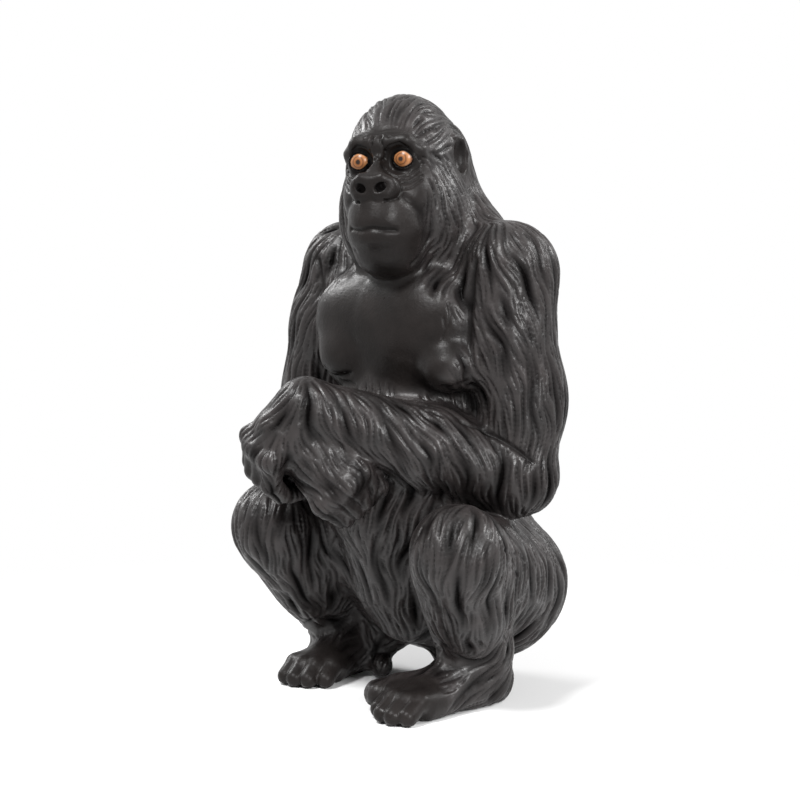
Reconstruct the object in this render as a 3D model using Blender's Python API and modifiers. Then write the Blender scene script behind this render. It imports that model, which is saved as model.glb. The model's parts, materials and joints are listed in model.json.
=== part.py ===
"""Crouching gorilla figurine, moulded in one piece and 75 mm tall.

Sizes are in millimetres until the last step, which turns the mesh into metres.
The gorilla faces -Y, its left side is +X, and it stands on Z = 0.
"""

import math
import random

import bmesh
import bpy
import numpy as np
from mathutils import Euler, Matrix, Vector, kdtree

MM = 0.001
MOST_TRIANGLES = 11600


def point(x, y, z):
    return Vector((x, y, z))


def mirrored(p):
    return Vector((-p.x, p.y, p.z))


def along(a, b, share):
    return a.lerp(b, share)


def placed(origin, tilt=0.0, turn=0.0, roll=0.0):
    """A frame at origin, rolled about Y, tilted about X, then turned about Z, in degrees."""
    angles = Euler((math.radians(tilt), math.radians(roll), math.radians(turn)), "YXZ")
    return Matrix.Translation(origin) @ angles.to_matrix().to_4x4()


class Ball:
    """An ellipsoid."""

    def __init__(self, frame, radii, blend, cut):
        self.frame, self.radii, self.blend, self.cut = frame, np.array(radii, float), blend, cut
        self.inverse = np.array(frame.inverted())
        self.centre = np.array(frame.translation)
        self.reach = max(radii)

    def distance(self, points):
        local = points @ self.inverse[:3, :3].T + self.inverse[:3, 3]
        near = np.linalg.norm(local / self.radii, axis=1) + 1e-9
        slope = np.linalg.norm(local / self.radii**2, axis=1) + 1e-9
        return near * (near - 1.0) / slope

    def block(self, bm):
        size = Matrix.Diagonal((*self.radii, 1.0))
        bmesh.ops.create_icosphere(bm, subdivisions=3, radius=1.0, matrix=self.frame @ size)


class Bone:
    """A tapered limb with round ends."""

    def __init__(self, start, end, start_radius, end_radius, blend, cut):
        self.start, self.end, self.blend, self.cut = start, end, blend, cut
        self.start_radius, self.end_radius = start_radius, end_radius
        self.centre = np.array((start + end) / 2)
        self.reach = (end - start).length / 2 + max(start_radius, end_radius)

    def distance(self, points):
        run = np.array(self.end - self.start)
        offset = points - np.array(self.start)
        share = np.clip(offset @ run / (run @ run + 1e-12), 0.0, 1.0)
        radius = self.start_radius + share * (self.end_radius - self.start_radius)
        return np.linalg.norm(offset - share[:, None] * run, axis=1) - radius

    def block(self, bm):
        run = self.end - self.start
        lie = Matrix.Translation((self.start + self.end) / 2) @ run.to_track_quat("Z", "Y").to_matrix().to_4x4()
        bmesh.ops.create_cone(bm, cap_ends=True, segments=20, radius1=self.start_radius,
                              radius2=self.end_radius, depth=run.length, matrix=lie)
        for end, radius in ((self.start, self.start_radius), (self.end, self.end_radius)):
            bmesh.ops.create_icosphere(bm, subdivisions=2, radius=radius, matrix=Matrix.Translation(end))


class Crease:
    """A soft groove pressed in along a line, or a ridge where depth is below zero."""

    def __init__(self, start, end, width, depth):
        self.line = Bone(start, end, 0.0, 0.0, 0.0, False)
        self.width, self.depth = width, depth
        self.centre, self.reach = self.line.centre, self.line.reach


class Clay:
    """Forms laid on one after another, each blended into what is there already."""

    def __init__(self):
        self.forms = []
        self.lines = []
        self.creases = []

    def ball(self, frame, radii, blend=1.0, cut=False):
        if isinstance(frame, Vector):
            frame = Matrix.Translation(frame)
        self.forms.append(Ball(frame, radii, blend, cut))

    def bone(self, start, end, start_radius, end_radius, blend=1.0, cut=False):
        self.forms.append(Bone(start, end, start_radius, end_radius, blend, cut))

    def chain(self, points, radii, blend=1.0, cut=False):
        for i in range(len(points) - 1):
            self.bone(points[i], points[i + 1], radii[i], radii[i + 1], blend, cut)

    def crease(self, points, width, depth):
        self.lines.append((points, width, depth))

    def seat_creases(self):
        """Lays the creases' lines on the finished surface."""
        for points, width, depth in self.lines:
            spots = np.array([tuple(p) for p in points])
            for _ in range(4):
                spots = spots - self.field(spots)[:, None] * self.facing(spots)
            for a, b in zip(spots[:-1], spots[1:]):
                self.creases.append(Crease(Vector(a), Vector(b), width, depth))

    def pressed(self, points):
        """How far the creases push the surface in at each point."""
        press = np.zeros(len(points))
        rise = np.zeros(len(points))
        for crease in self.creases:
            gap = np.linalg.norm(points - crease.centre, axis=1)
            near = np.nonzero(gap < crease.reach + 3 * crease.width)[0]
            if len(near):
                push = crease.depth * np.exp(-(crease.line.distance(points[near]) / crease.width) ** 2)
                press[near] = np.maximum(press[near], push)
                rise[near] = np.minimum(rise[near], push)
        return press + rise

    def field(self, points):
        """Signed distance to the blended surface, for points near it."""
        margin, cell = 3.0, 4.0
        value = np.full(len(points), 50.0)
        x, y, z = np.floor(points / cell).astype(int).T + 64
        keys, place = np.unique((x * 128 + y) * 128 + z, return_inverse=True)
        order = np.argsort(place, kind="stable")
        ends = np.searchsorted(place[order], np.arange(len(keys) + 1))
        middles = (np.stack([keys // 16384, keys // 128 % 128, keys % 128], axis=1) - 63.5) * cell
        for form in self.forms:
            gap = np.linalg.norm(middles - form.centre, axis=1)
            close = np.nonzero(gap < form.reach + margin + cell)[0]
            if not len(close):
                continue
            near = np.concatenate([order[ends[i]:ends[i + 1]] for i in close])
            near = near[np.linalg.norm(points[near] - form.centre, axis=1) < form.reach + margin]
            new, old = form.distance(points[near]), value[near]
            if form.cut:
                overlap = np.maximum(form.blend - np.abs(old + new), 0.0)
                value[near] = np.maximum(old, -new) + overlap**2 / (4 * form.blend)
            else:
                overlap = np.maximum(form.blend - np.abs(old - new), 0.0)
                value[near] = np.minimum(old, new) - overlap**2 / (4 * form.blend)
        return value

    def facing(self, points):
        """Unit vectors out of the blended surface."""
        step = 0.02
        value = self.field(points)
        slope = np.stack([self.field(points + step * axis) - value for axis in np.eye(3)], axis=1)
        return slope / (np.linalg.norm(slope, axis=1, keepdims=True) + 1e-9)


# Skeleton
SHOULDER_LEFT = point(14.0, 1.0, 52.0)
SHOULDER_RIGHT = point(-13.8, 1.2, 52.0)
ELBOW_LEFT = point(16.4, 0.3, 27.4)
ELBOW_RIGHT = point(-19.0, -2.0, 27.5)
WRIST_LEFT = point(-1.5, -18.8, 36.0)
WRIST_RIGHT = point(-1.7, -17.8, 30.7)
HIP_LEFT = point(9.2, 7.0, 13.0)
HIP_RIGHT = mirrored(HIP_LEFT)
KNEE_LEFT = point(16.5, -11.5, 19.3)
KNEE_RIGHT = point(-15.0, -10.7, 19.5)
ANKLE_LEFT = point(11.5, -1.6, 6.0)
ANKLE_RIGHT = point(-14.6, 1.2, 6.0)
KNEE_HOLLOW = point(18.2, -2.6, 10.3)

# Girths: half the width, depth and height of the trunk's masses, and the limbs' radii
CHEST_X, CHEST_Y, CHEST_Z = 12.2, 10.0, 12.5
BELLY_X, BELLY_Y, BELLY_Z = 12.6, 11.5, 15.0
RUMP_X, RUMP_Y, RUMP_Z = 13.0, 9.8, 11.3
NECK_R = 8.0
UPPER_ARM_R, ELBOW_R, FOREARM_R, WRIST_R = 5.0, 4.5, 5.1, 3.6
THIGH_R, KNEE_R, SHIN_R, ANKLE_R = 7.2, 5.2, 5.0, 3.9
FINGER_R = 1.4
TOE_R = 1.15

# Height and head
GROUND = -0.85
HEIGHT = 75.0
CROWN = 11.64
HEAD = point(0.3, -3.0, GROUND + HEIGHT - CROWN)
HEAD_TURN = 21.0
HEAD_ROLL = 3.0
EYE_X, EYE_Y, EYE_Z, EYE_R = 2.85, -6.7, 3.25, 1.5

# Hair moulded in locks: furrows pressed in along the way it lies
LOCK_SPACING = 2.0
LOCK_LENGTH = 9.0
LOCK_WIDTH = 1.1
LOCK_DEPTH = 0.55
TRACE_STEP = 0.3
HEAD_HAIR = 9.5
HEAD_HAIR_LIES = [
    ((0, -7.5, 8), (0, 0.5, 1)),
    ((3.5, -6, 8), (0.5, 0.6, 0.8)),
    ((-3.5, -6, 8), (-0.5, 0.6, 0.8)),
    ((5.5, -3, 6), (0.3, 1, 0.3)),
    ((-5.5, -3, 6), (-0.3, 1, 0.3)),
    ((0, -2, 11.3), (0, 1, 0.1)),
    ((4, 1, 10), (0.3, 1, -0.4)),
    ((-4, 1, 10), (-0.3, 1, -0.4)),
    ((0, 7, 7), (0, 0.4, -1)),
    ((0, 9, -1), (0, 0.1, -1)),
    ((6.5, 4, 3), (0.1, 0.5, -1)),
    ((-6.5, 4, 3), (-0.1, 0.5, -1)),
    ((5.8, -4, 1.5), (0.3, 0.5, -0.9)),
    ((-5.8, -4, 1.5), (-0.3, 0.5, -0.9)),
    ((6.8, -3.5, -4), (-0.1, 0.1, -1)),
    ((-6.8, -3.5, -4), (0.1, 0.1, -1)),
    ((6.5, 1, -5), (0, 0, -1)),
    ((-6.5, 1, -5), (0, 0, -1)),
    ((4.5, -5, -9), (-0.5, -0.3, -0.6)),
    ((-4.5, -5, -9), (0.5, -0.3, -0.6)),
    ((0, -7, -11), (0, 0.6, -0.4)),
]
HAIR_LIES = [
    ((0, -8, 51), (0, 0.3, -1)),
    ((9, 3, 57), (0.8, 0.1, -0.8)),
    ((-9, 3, 57), (-0.8, 0.1, -0.8)),
    ((18, 0, 54), (0.5, 0.2, -1)),
    ((-18, 0, 54), (-0.5, 0.2, -1)),
    ((15, -5, 46), (0.4, 0.3, -1)),
    ((-15, -5, 46), (-0.4, 0.3, -1)),
    ((21, 2, 40), (0, 0.2, -1)),
    ((-21, 2, 40), (0, 0.2, -1)),
    ((0, 14, 48), (0, 0.1, -1)),
    ((0, 15, 30), (0, 0, -1)),
    ((20, 2, 29), (-0.2, -0.1, -1)),
    ((10, -9, 32), (0.5, 0.3, -0.9)),
    ((2, -17, 37), (0.2, 0.1, -1)),
    ((-5, -22, 35), (-0.7, -0.3, -0.6)),
    ((-20, -4, 28), (0.2, -0.3, -1)),
    ((-10, -12, 28), (-0.3, 0.1, -1)),
    ((3, -21, 29), (0.8, -0.1, -0.6)),
    ((17, -13, 24), (0, -0.4, -1)),
    ((-15, -13, 24), (0, -0.4, -1)),
    ((18, 0, 18), (0.1, 0.2, -1)),
    ((-18, 0, 18), (-0.1, 0.2, -1)),
    ((16, -8, 11), (-0.2, 0.4, -1)),
    ((-15, -6, 11), (0.1, 0.5, -1)),
    ((10, 14, 14), (0.2, 0.1, -1)),
    ((-10, 14, 14), (-0.2, 0.1, -1)),
    ((8, 9, 4), (-0.6, -0.4, -0.6)),
    ((-8, 9, 4), (0.6, -0.4, -0.6)),
    ((7, -9, 22), (-0.5, 0.1, -1)),
    ((-7, -9, 22), (0.5, 0.1, -1)),
    ((0, -8, 12), (0, 0.3, -1)),
    ((11, -8, 4), (0, -1, -0.3)),
    ((-13, -3, 4), (0.2, -1, -0.3)),
]
FACE_SKIN = [
    ((0, -10.0, 1.6), 6.0),
    ((0, -11.0, -4.6), 5.6),
    ((7.6, 1.0, 3.2), 1.9),
    ((-7.6, 1.0, 3.2), 1.9),
]
BARE_SKIN = [
    ((2.0, -12, 43.5), 5.0),
    ((0.5, -9.5, 49), 6.5),
    ((6.5, -9.5, 44), 6.0),
    ((-5.5, -9.5, 44), 6.0),
    ((-9.5, -22.5, 27.5), 4.0),
    ((8.2, -17.5, 22.5), 3.2),
    ((11, -15.5, 0), 5.5),
    ((-11, -9.0, 0), 5.0),
    ((0, 0, -9), 10.0),
]


def torso(clay):
    clay.ball(point(0, 1.8, 43.0), (CHEST_X, CHEST_Y, CHEST_Z))
    clay.ball(point(0, 3.2, 49.5), (13.0, 8.0, 7.0), blend=3)
    clay.ball(point(0, 7.2, 43.5), (9.5, 6.8, 11.5), blend=4)
    clay.ball(point(0, 6.0, 36.0), (12.6, 8.8, 16.0), blend=4)
    clay.ball(point(0, -0.5, 27.0), (BELLY_X, BELLY_Y, BELLY_Z), blend=4)
    clay.ball(point(0, 5.8, 15.0), (RUMP_X, RUMP_Y, RUMP_Z), blend=4)
    clay.ball(point(0, -0.6, 14.0), (8.2, 7.8, 8.4), blend=4)
    clay.ball(point(0, 8.5, 4.2), (4.5, 4.5, 5.7), blend=2)
    clay.bone(point(0, -7.0, 22.0), point(0, -3.4, 8.6), 6.0, 2.6, blend=2)
    for side in (1, -1):
        clay.ball(point(side * 6.0, 7.4, 11.0), (7.9, 7.8, 8.6), blend=2)
        clay.bone(point(side * 11.0, 2.4, 52.6), point(side * 2.0, 2.6, 60.5), 4.2, 4.6, blend=3)
        clay.ball(point(side * 6.0, -4.6, 46.0), (6.6, 4.6, 6.0), blend=3)
        clay.bone(point(side * 7.5, 9.5, 50.0), point(side * 5.5, 11.0, 36.0), 4.5, 4.0, blend=4)
    clay.ball(point(1.5, -4.9, 45.8), (8.6, 4.6, 7.6), blend=2.5)
    clay.ball(point(10.3, -5.9, 40.9), (3.5, 3.5, 3.1), blend=1.6)
    clay.ball(point(-6.2, -6.2, 41.6), (4.0, 3.4, 3.2), blend=2.2)
    clay.bone(point(-6.4, 4.0, 9.4), point(-8.4, 2.4, 4.4), 4.6, 2.9, blend=2)
    clay.bone(point(0, 2.0, 53.0), along(point(0, 2, 53), HEAD, 0.8), NECK_R, NECK_R - 2.0, blend=3)


def arm(clay, shoulder, elbow, wrist):
    clay.ball(shoulder, (UPPER_ARM_R + 0.4, UPPER_ARM_R + 0.5, UPPER_ARM_R + 1.2), blend=3)
    clay.bone(shoulder, elbow, UPPER_ARM_R, ELBOW_R, blend=3)
    clay.ball(along(shoulder, elbow, 0.32) + point(0, -0.8, 0), (UPPER_ARM_R + 0.2, UPPER_ARM_R + 0.4, 7.5), blend=2)
    clay.ball(along(shoulder, elbow, 0.62) + point(0, 1.3, 0), (UPPER_ARM_R + 0.4, UPPER_ARM_R + 0.4, 7.2), blend=2)
    clay.ball(elbow, (ELBOW_R - 0.5, ELBOW_R - 0.4, ELBOW_R - 0.2), blend=1.5)
    clay.bone(along(elbow, wrist, 0.12), along(elbow, wrist, 0.42), FOREARM_R - 0.5, FOREARM_R, blend=1.2)
    clay.bone(along(elbow, wrist, 0.42), wrist, FOREARM_R, WRIST_R, blend=1.5)


def leg(clay, hip, knee, ankle):
    clay.bone(hip, knee, THIGH_R, KNEE_R, blend=3)
    clay.ball(knee, (KNEE_R, KNEE_R, KNEE_R + 0.3), blend=2)
    clay.bone(knee, ankle, SHIN_R, ANKLE_R, blend=2)
    clay.ball(along(knee, ankle, 0.45) + point(0, 0.6, 0), (SHIN_R + 0.2, SHIN_R + 0.8, 6.2), blend=2)
    clay.bone(along(knee, ankle, 0.2) + point(-0.6, -0.6, 0), ankle + point(-0.6, -1.6, 0.5), SHIN_R, ANKLE_R + 0.1, blend=1.5)


def foot(clay, ankle, heading, reach, big_toe, side):
    """heading turns the foot inwards, in degrees; reach is how far the toes come forward.

    big_toe is the place and the half thickness of its tip.
    """
    frame = placed(point(ankle.x, ankle.y, GROUND - 0.35), turn=-side * heading)

    def at(x, y, z):
        return frame @ point(side * x, y * reach, z)

    clay.bone(ankle, at(-0.3, 0.8, 4.2), ANKLE_R - 0.1, 3.5, blend=1.5)
    clay.bone(at(-0.3, 2.0, 2.7), at(-0.6, -3.0, 3.8), 3.0, 3.4, blend=1.5)
    clay.bone(at(-0.8, -2.5, 4.0), at(-1.3, -10.5, 2.2), 3.2, 2.4, blend=1.5)
    clay.bone(at(0.8, 0.5, 2.2), at(0.9, -11.0, 1.9), 2.0, 1.8, blend=1.5)
    clay.bone(at(-2.0, -2.5, 2.6), at(-2.9, -9.5, 2.0), 2.2, 1.9, blend=1.5)
    tips = ((-4.0, -13.9), (-2.1, -15.4), (-0.2, -15.7), (1.5, -14.9))
    for x, y in tips:
        root = at(x * 0.75 - 0.4, y + 5.6, 2.5)
        knuckle = at(x * 0.95 - 0.1, y + 2.4, 2.7)
        clay.bone(root, knuckle, TOE_R + 0.15, TOE_R + 0.1, blend=0.8)
        clay.bone(knuckle, at(x, y, TOE_R + 0.15), TOE_R, TOE_R, blend=0.3)
    x, y, girth = big_toe
    clay.bone(at(-2.2, -3.0, 2.8), at(x + 1.2, y + 2.0, girth + 0.9), 2.1, girth + 0.1, blend=1.2)
    clay.bone(at(x + 1.2, y + 2.0, girth + 0.9), at(x, y, girth + 0.4), girth, girth, blend=0.4)


def head_frame():
    return placed(HEAD, turn=HEAD_TURN, roll=-HEAD_ROLL)


def head(clay):
    frame = head_frame()

    def at(x, y, z):
        return frame @ point(x, y, z)

    def ball(centre, radii, blend=1.0, cut=False, tilt=0.0, turn=0.0, roll=0.0):
        clay.ball(frame @ placed(point(*centre), tilt, turn, roll), radii, blend, cut)

    def chain(points, radii, blend=1.0, cut=False):
        clay.chain([at(*p) for p in points], radii, blend, cut)

    def crease(points, width, depth):
        clay.crease([at(*p) for p in points], width, depth)

    # Skull, jaw and the ruff of hair round the face
    ball((0, 0.4, 3.3), (6.9, 8.6, CROWN - 3.3), blend=2)
    ball((0, 3.6, -1.5), (6.6, 5.6, 8.0), blend=3)
    ball((0, -0.6, -3.8), (7.4, 6.2, 7.2), blend=2)
    for side in (1, -1):
        ball((side * 5.3, -1.8, -3.4), (2.6, 3.6, 5.6), blend=2)
    # Face mask and muzzle
    ball((0, -4.8, 1.4), (5.1, 3.5, 5.0), blend=1.5)
    ball((0, -6.6, -5.2), (4.9, 5.2, 4.2), blend=1.2)
    ball((0, -5.7, -8.2), (4.3, 4.4, 2.9), blend=1.5)
    ball((0, -8.6, -2.6), (3.5, 3.0, 2.6), blend=1.8)
    ball((0, -10.2, -4.1), (2.3, 1.5, 0.9), blend=1.2)
    ball((0, -10.5, -6.1), (1.7, 1.2, 0.7), blend=1.1)
    # Nose: a broad low bridge, and a ring round each nostril
    chain([(0, -7.6, 4.6), (0, -8.3, 2.8), (0, -9.6, 1.2)], (0.7, 0.8, 1.5), blend=1.4)
    ball((0, -10.6, 0.1), (1.0, 1.3, 1.3), blend=1.0)
    for side in (1, -1):
        ball((side * 1.5, -10.0, -0.2), (1.6, 1.5, 1.6), blend=1.0)
        chain([(side * 0.5, -11.3, 0.9), (side * 1.3, -11.1, 1.05), (side * 2.1, -10.6, 0.6), (side * 2.35, -10.3, -0.3),
               (side * 1.8, -10.9, -0.95), (side * 0.8, -11.3, -0.95)], (0.45, 0.45, 0.45, 0.45, 0.35, 0.35), blend=0.7)
        ball((side * 1.25, -10.4, -0.1), (0.85, 2.6, 0.5), blend=0.25, cut=True, roll=side * -28)
    # Brow, sockets, eyes
    brow = [(-4.7, -5.4, 2.4), (-4.5, -6.3, 4.3), (-3.1, -7.4, 5.35), (-1.2, -7.8, 5.3), (0, -7.8, 4.9),
            (1.2, -7.8, 5.3), (3.1, -7.4, 5.35), (4.5, -6.3, 4.3), (4.7, -5.4, 2.4)]
    chain(brow, (0.5, 0.6, 0.75, 0.8, 0.75, 0.8, 0.75, 0.6, 0.5), blend=1.2)
    for side in (1, -1):
        ball((side * 2.8, -9.3, 2.95), (2.3, 2.35, 2.15), blend=0.5, cut=True)
        ball((side * EYE_X, EYE_Y, EYE_Z), (EYE_R + 0.3, EYE_R + 0.22, EYE_R + 0.2), blend=0.4)
        ball((side * 3.1, -5.9, -1.1), (2.5, 3.0, 3.1), blend=1.6)
        chain([(side * 1.5, -8.2, 1.0), (side * 2.9, -7.9, 0.4), (side * 4.1, -6.9, 0.8), (side * 4.7, -5.8, 2.2)],
              (0.4, 0.45, 0.45, 0.4), blend=0.8)
        ball((side * EYE_X, EYE_Y - EYE_R, EYE_Z), (EYE_R - 0.1, EYE_R, EYE_R - 0.4), blend=0.1, cut=True, roll=side * 8)
        ball((side * EYE_X, EYE_Y, EYE_Z), (EYE_R, EYE_R, EYE_R), blend=0.04)
    # Mouth and the fold beside the muzzle
    crease([(-2.6, -10.0, -4.9), (-1.4, -11.3, -5.1), (0, -11.8, -4.9), (1.3, -11.3, -5.1), (2.4, -10.4, -5.3)], 0.3, 0.26)
    for side in (1, -1):
        crease([(side * 3.2, -9.2, -1.6), (side * 4.6, -7.8, -3.2), (side * 4.9, -6.8, -6.4)], 0.6, 0.22)
    # Ears: a raised rim round a hollow
    for side in (1, -1):
        ball((side * 5.0, 3.6, 1.6), (2.2, 3.4, 5.4), blend=1.8)
        ball((side * 6.3, 0.9, 3.2), (0.7, 2.0, 2.8), blend=0.6, turn=side * -18)
        chain([(side * 6.3, -0.9, 4.8), (side * 6.6, 0.1, 5.8), (side * 7.0, 1.4, 5.5), (side * 7.2, 2.1, 4.0),
               (side * 7.1, 1.9, 2.2), (side * 7.0, 1.0, 0.8), (side * 6.8, 0.2, 0.9)],
              (0.35, 0.4, 0.45, 0.45, 0.45, 0.45, 0.4), blend=0.4)
        ball((side * 7.3, 0.5, 3.4), (0.95, 1.15, 1.9), blend=0.3, cut=True, turn=side * -18)


def hand(clay, wrist, forward, back, palm, curl, girth, side):
    """forward runs along the back of the hand, and back points out of it."""
    forward = forward.normalized()
    back = (back - forward * back.dot(forward)).normalized()
    across = back.cross(forward) * side
    clay.bone(wrist, wrist + forward * palm * 0.5, girth, girth, blend=1.5)
    clay.ball(wrist + forward * palm * 0.85 - back * 1.6, (2.6, 2.6, 2.6), blend=1.5)
    for i in range(4):
        offset = across * (i - 1.5)
        knuckle = wrist + forward * (palm - 0.35 * abs(i - 1.2)) + offset * 2.0 + back * (0.5 - 0.3 * abs(i - 1.5))
        clay.bone(wrist + forward * palm * 0.35 + offset * 1.3, knuckle, 2.0, FINGER_R, blend=1.2)
        clay.ball(knuckle + back * 0.25, (FINGER_R + 0.15,) * 3, blend=0.5)
        bend, spot, length, radius = 0.0, knuckle, 3.5, FINGER_R
        for angle in curl:
            bend += math.radians(angle)
            end = spot + (forward * math.cos(bend) - back * math.sin(bend)) * length - offset * 0.12
            clay.bone(spot, end, radius, radius - 0.1, blend=0.35)
            spot, length, radius = end, length * 0.75, radius - 0.1
    thumb = wrist + forward * palm * 0.5 - across * 3.0 - back * 1.2
    clay.bone(wrist + forward * 1.5 - across * 1.2, thumb, 1.9, 1.5, blend=1.0)
    clay.bone(thumb, thumb + forward * 3.4 - back * 0.8, FINGER_R, FINGER_R - 0.25, blend=0.5)


def hands(clay):
    hand(clay, WRIST_RIGHT, point(0.74, 0.08, -0.67), point(0.25, -0.92, 0.3), 7.0, (62, 85, 60), 3.2, -1)
    hand(clay, WRIST_LEFT, point(-0.55, -0.47, -0.69), point(0.02, -0.83, 0.55), 7.8, (50, 35, 45), 3.4, 1)


def gorilla():
    clay = Clay()
    torso(clay)
    leg(clay, HIP_LEFT, KNEE_LEFT, ANKLE_LEFT)
    leg(clay, HIP_RIGHT, KNEE_RIGHT, ANKLE_RIGHT)
    for hollow in (KNEE_HOLLOW, mirrored(KNEE_HOLLOW)):
        clay.ball(hollow, (1.4, 1.0, 1.6), blend=1.0, cut=True)
    foot(clay, ANKLE_LEFT, 0.0, 1.0, (-6.4, -11.4, 1.9), 1)
    foot(clay, ANKLE_RIGHT, 12.0, 0.78, (-7.4, -3.4, 1.5), -1)
    head(clay)
    arm(clay, SHOULDER_RIGHT, ELBOW_RIGHT, WRIST_RIGHT)
    arm(clay, SHOULDER_LEFT, ELBOW_LEFT, WRIST_LEFT)
    hands(clay)
    clay.seat_creases()
    return clay


def mesh_object(name, bm):
    mesh = bpy.data.meshes.new(name)
    bm.to_mesh(mesh)
    bm.free()
    obj = bpy.data.objects.new(name, mesh)
    bpy.context.scene.collection.objects.link(obj)
    return obj


def applied(obj):
    """Applies the object's modifiers to its mesh."""
    graph = bpy.context.evaluated_depsgraph_get()
    mesh = bpy.data.meshes.new_from_object(obj.evaluated_get(graph))
    obj.modifiers.clear()
    obj.data = mesh
    return obj


def outer_shell(obj):
    """Keeps the largest connected surface and drops what is sealed inside it."""
    bm = bmesh.new()
    bm.from_mesh(obj.data)
    left, largest = set(bm.verts), []
    while left:
        found, edge = [], [left.pop()]
        while edge:
            vert = edge.pop()
            found.append(vert)
            for link in vert.link_edges:
                other = link.other_vert(vert)
                if other in left:
                    left.remove(other)
                    edge.append(other)
        largest = max(largest, found, key=len)
    kept = set(largest)
    bmesh.ops.delete(bm, geom=[v for v in bm.verts if v not in kept], context="VERTS")
    bm.to_mesh(obj.data)
    bm.free()
    return obj


def remeshed(obj, voxel):
    modifier = obj.modifiers.new("fuse", "REMESH")
    modifier.mode = "VOXEL"
    modifier.voxel_size = voxel
    return outer_shell(applied(obj))


def settled(obj, clay, rounds=3):
    """Moves each vertex on to the blended surface."""
    spots = spots_of(obj)
    step = 0.02
    for _ in range(rounds):
        value = clay.field(spots)
        slope = np.stack([clay.field(spots + step * axis) - value for axis in np.eye(3)], axis=1) / step
        length = np.maximum(np.linalg.norm(slope, axis=1), 0.3)
        move = np.clip(value / length, -1.0, 1.0)
        spots = spots - (move / length)[:, None] * slope
    return moved_to(obj, spots)


def spots_of(obj):
    flat = np.empty(len(obj.data.vertices) * 3)
    obj.data.vertices.foreach_get("co", flat)
    return flat.reshape(-1, 3)


def moved_to(obj, spots):
    obj.data.vertices.foreach_set("co", spots.ravel())
    obj.data.update()
    return obj


def hair_places():
    """Every place where the lie of the hair is set, and the way it lies there."""
    frame = head_frame()
    turned = [(frame @ point(*place), frame.to_3x3() @ point(*lie)) for place, lie in HEAD_HAIR_LIES]
    return [(np.array(place), np.array(lie) / np.linalg.norm(lie)) for place, lie in turned + HAIR_LIES]


def hair_flow(spots):
    """The way the moulded hair lies at each spot."""
    total = np.zeros_like(spots)
    for place, lie in hair_places():
        gap = ((spots - place) ** 2).sum(axis=1)
        total += lie / (gap[:, None] + 1.0) ** 2
    return total


def haired(spots):
    """1 where there is hair, 0 on bare skin."""
    frame = head_frame()
    share = np.ones(len(spots))
    for place, radius in [(frame @ point(*place), radius) for place, radius in FACE_SKIN] + BARE_SKIN:
        gap = np.linalg.norm(spots - np.array(place), axis=1)
        share = np.minimum(share, np.clip((gap - radius) / 1.5, 0.0, 1.0))
    return share


def coarse(spots):
    """How deep the locks are: 1 on the body, and less on the head, where the hair is short."""
    gap = np.linalg.norm(spots - np.array(HEAD), axis=1)
    return np.clip((gap - HEAD_HAIR) / 5.0, 0.3, 1.0)


def hair_sway(spots):
    """A slow turn, in radians, that makes neighbouring locks wave together."""
    x, y, z = spots.T
    return 0.12 * (np.sin(0.55 * x + 0.8 * z) + np.sin(0.7 * y - 0.9 * z + 2.0) + np.sin(1.1 * x + 0.9 * y - 0.4 * z))


def traced(clay, starts, length, drift):
    """Lines from each start along the hair over the surface, as points (lines, steps, 3)."""
    line = starts
    path = [line]
    for _ in range(int(length / TRACE_STEP)):
        facing = clay.facing(line)
        lie = hair_flow(line)
        lie -= facing * (lie * facing).sum(axis=1, keepdims=True)
        lie /= np.linalg.norm(lie, axis=1, keepdims=True) + 1e-9
        lie = lie + (drift + hair_sway(line))[:, None] * np.cross(facing, lie)
        line = line + TRACE_STEP * lie / np.linalg.norm(lie, axis=1, keepdims=True)
        line = line - clay.field(line)[:, None] * facing
        path.append(line)
    return np.array(path).swapaxes(0, 1)


def lock_lines(clay, spots, spacing, length, seed):
    """Lines that follow the hair and keep a spacing apart: their points, places along them and strengths."""
    chance = random.Random(seed)
    order = np.nonzero(haired(spots) > 0.4)[0].tolist()
    chance.shuffle(order)
    starts = thinned(spots, order, spacing * 0.8)
    drift = np.array([chance.uniform(-0.12, 0.12) for _ in starts])
    paths = traced(clay, spots[starts], length, drift)
    around = [(a, b, c) for a in (-1, 0, 1) for b in (-1, 0, 1) for c in (-1, 0, 1)]
    taken, points, places, strengths = {}, [], [], []
    for path in paths.tolist():
        kept = []
        for spot in path:
            x, y, z = (math.floor(value / spacing) for value in spot)
            if any(math.dist(spot, other) < spacing for a, b, c in around for other in taken.get((x + a, y + b, z + c), ())):
                break
            kept.append(spot)
        if len(kept) * TRACE_STEP < 0.3 * length:
            continue
        strength = chance.uniform(0.6, 1.0)
        for i, spot in enumerate(kept):
            taken.setdefault(tuple(math.floor(value / spacing) for value in spot), []).append(spot)
            points.append(spot)
            places.append((i + 0.5) / len(kept))
            strengths.append(strength)
    return np.array(points), np.array(places), np.array(strengths)


def thinned(spots, order, spacing):
    """Indices of spots in the given order, none closer than the spacing to one before it."""
    cells = np.floor(spots / spacing).astype(int).tolist()
    around = [(a, b, c) for a in (-1, 0, 1) for b in (-1, 0, 1) for c in (-1, 0, 1)]
    kept, grid = [], {}
    for i in order:
        x, y, z = cells[i]
        near = [j for a, b, c in around for j in grid.get((x + a, y + b, z + c), ())]
        if all(math.dist(spots[i], spots[j]) > spacing for j in near):
            grid.setdefault((x, y, z), []).append(i)
            kept.append(i)
    return kept


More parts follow.
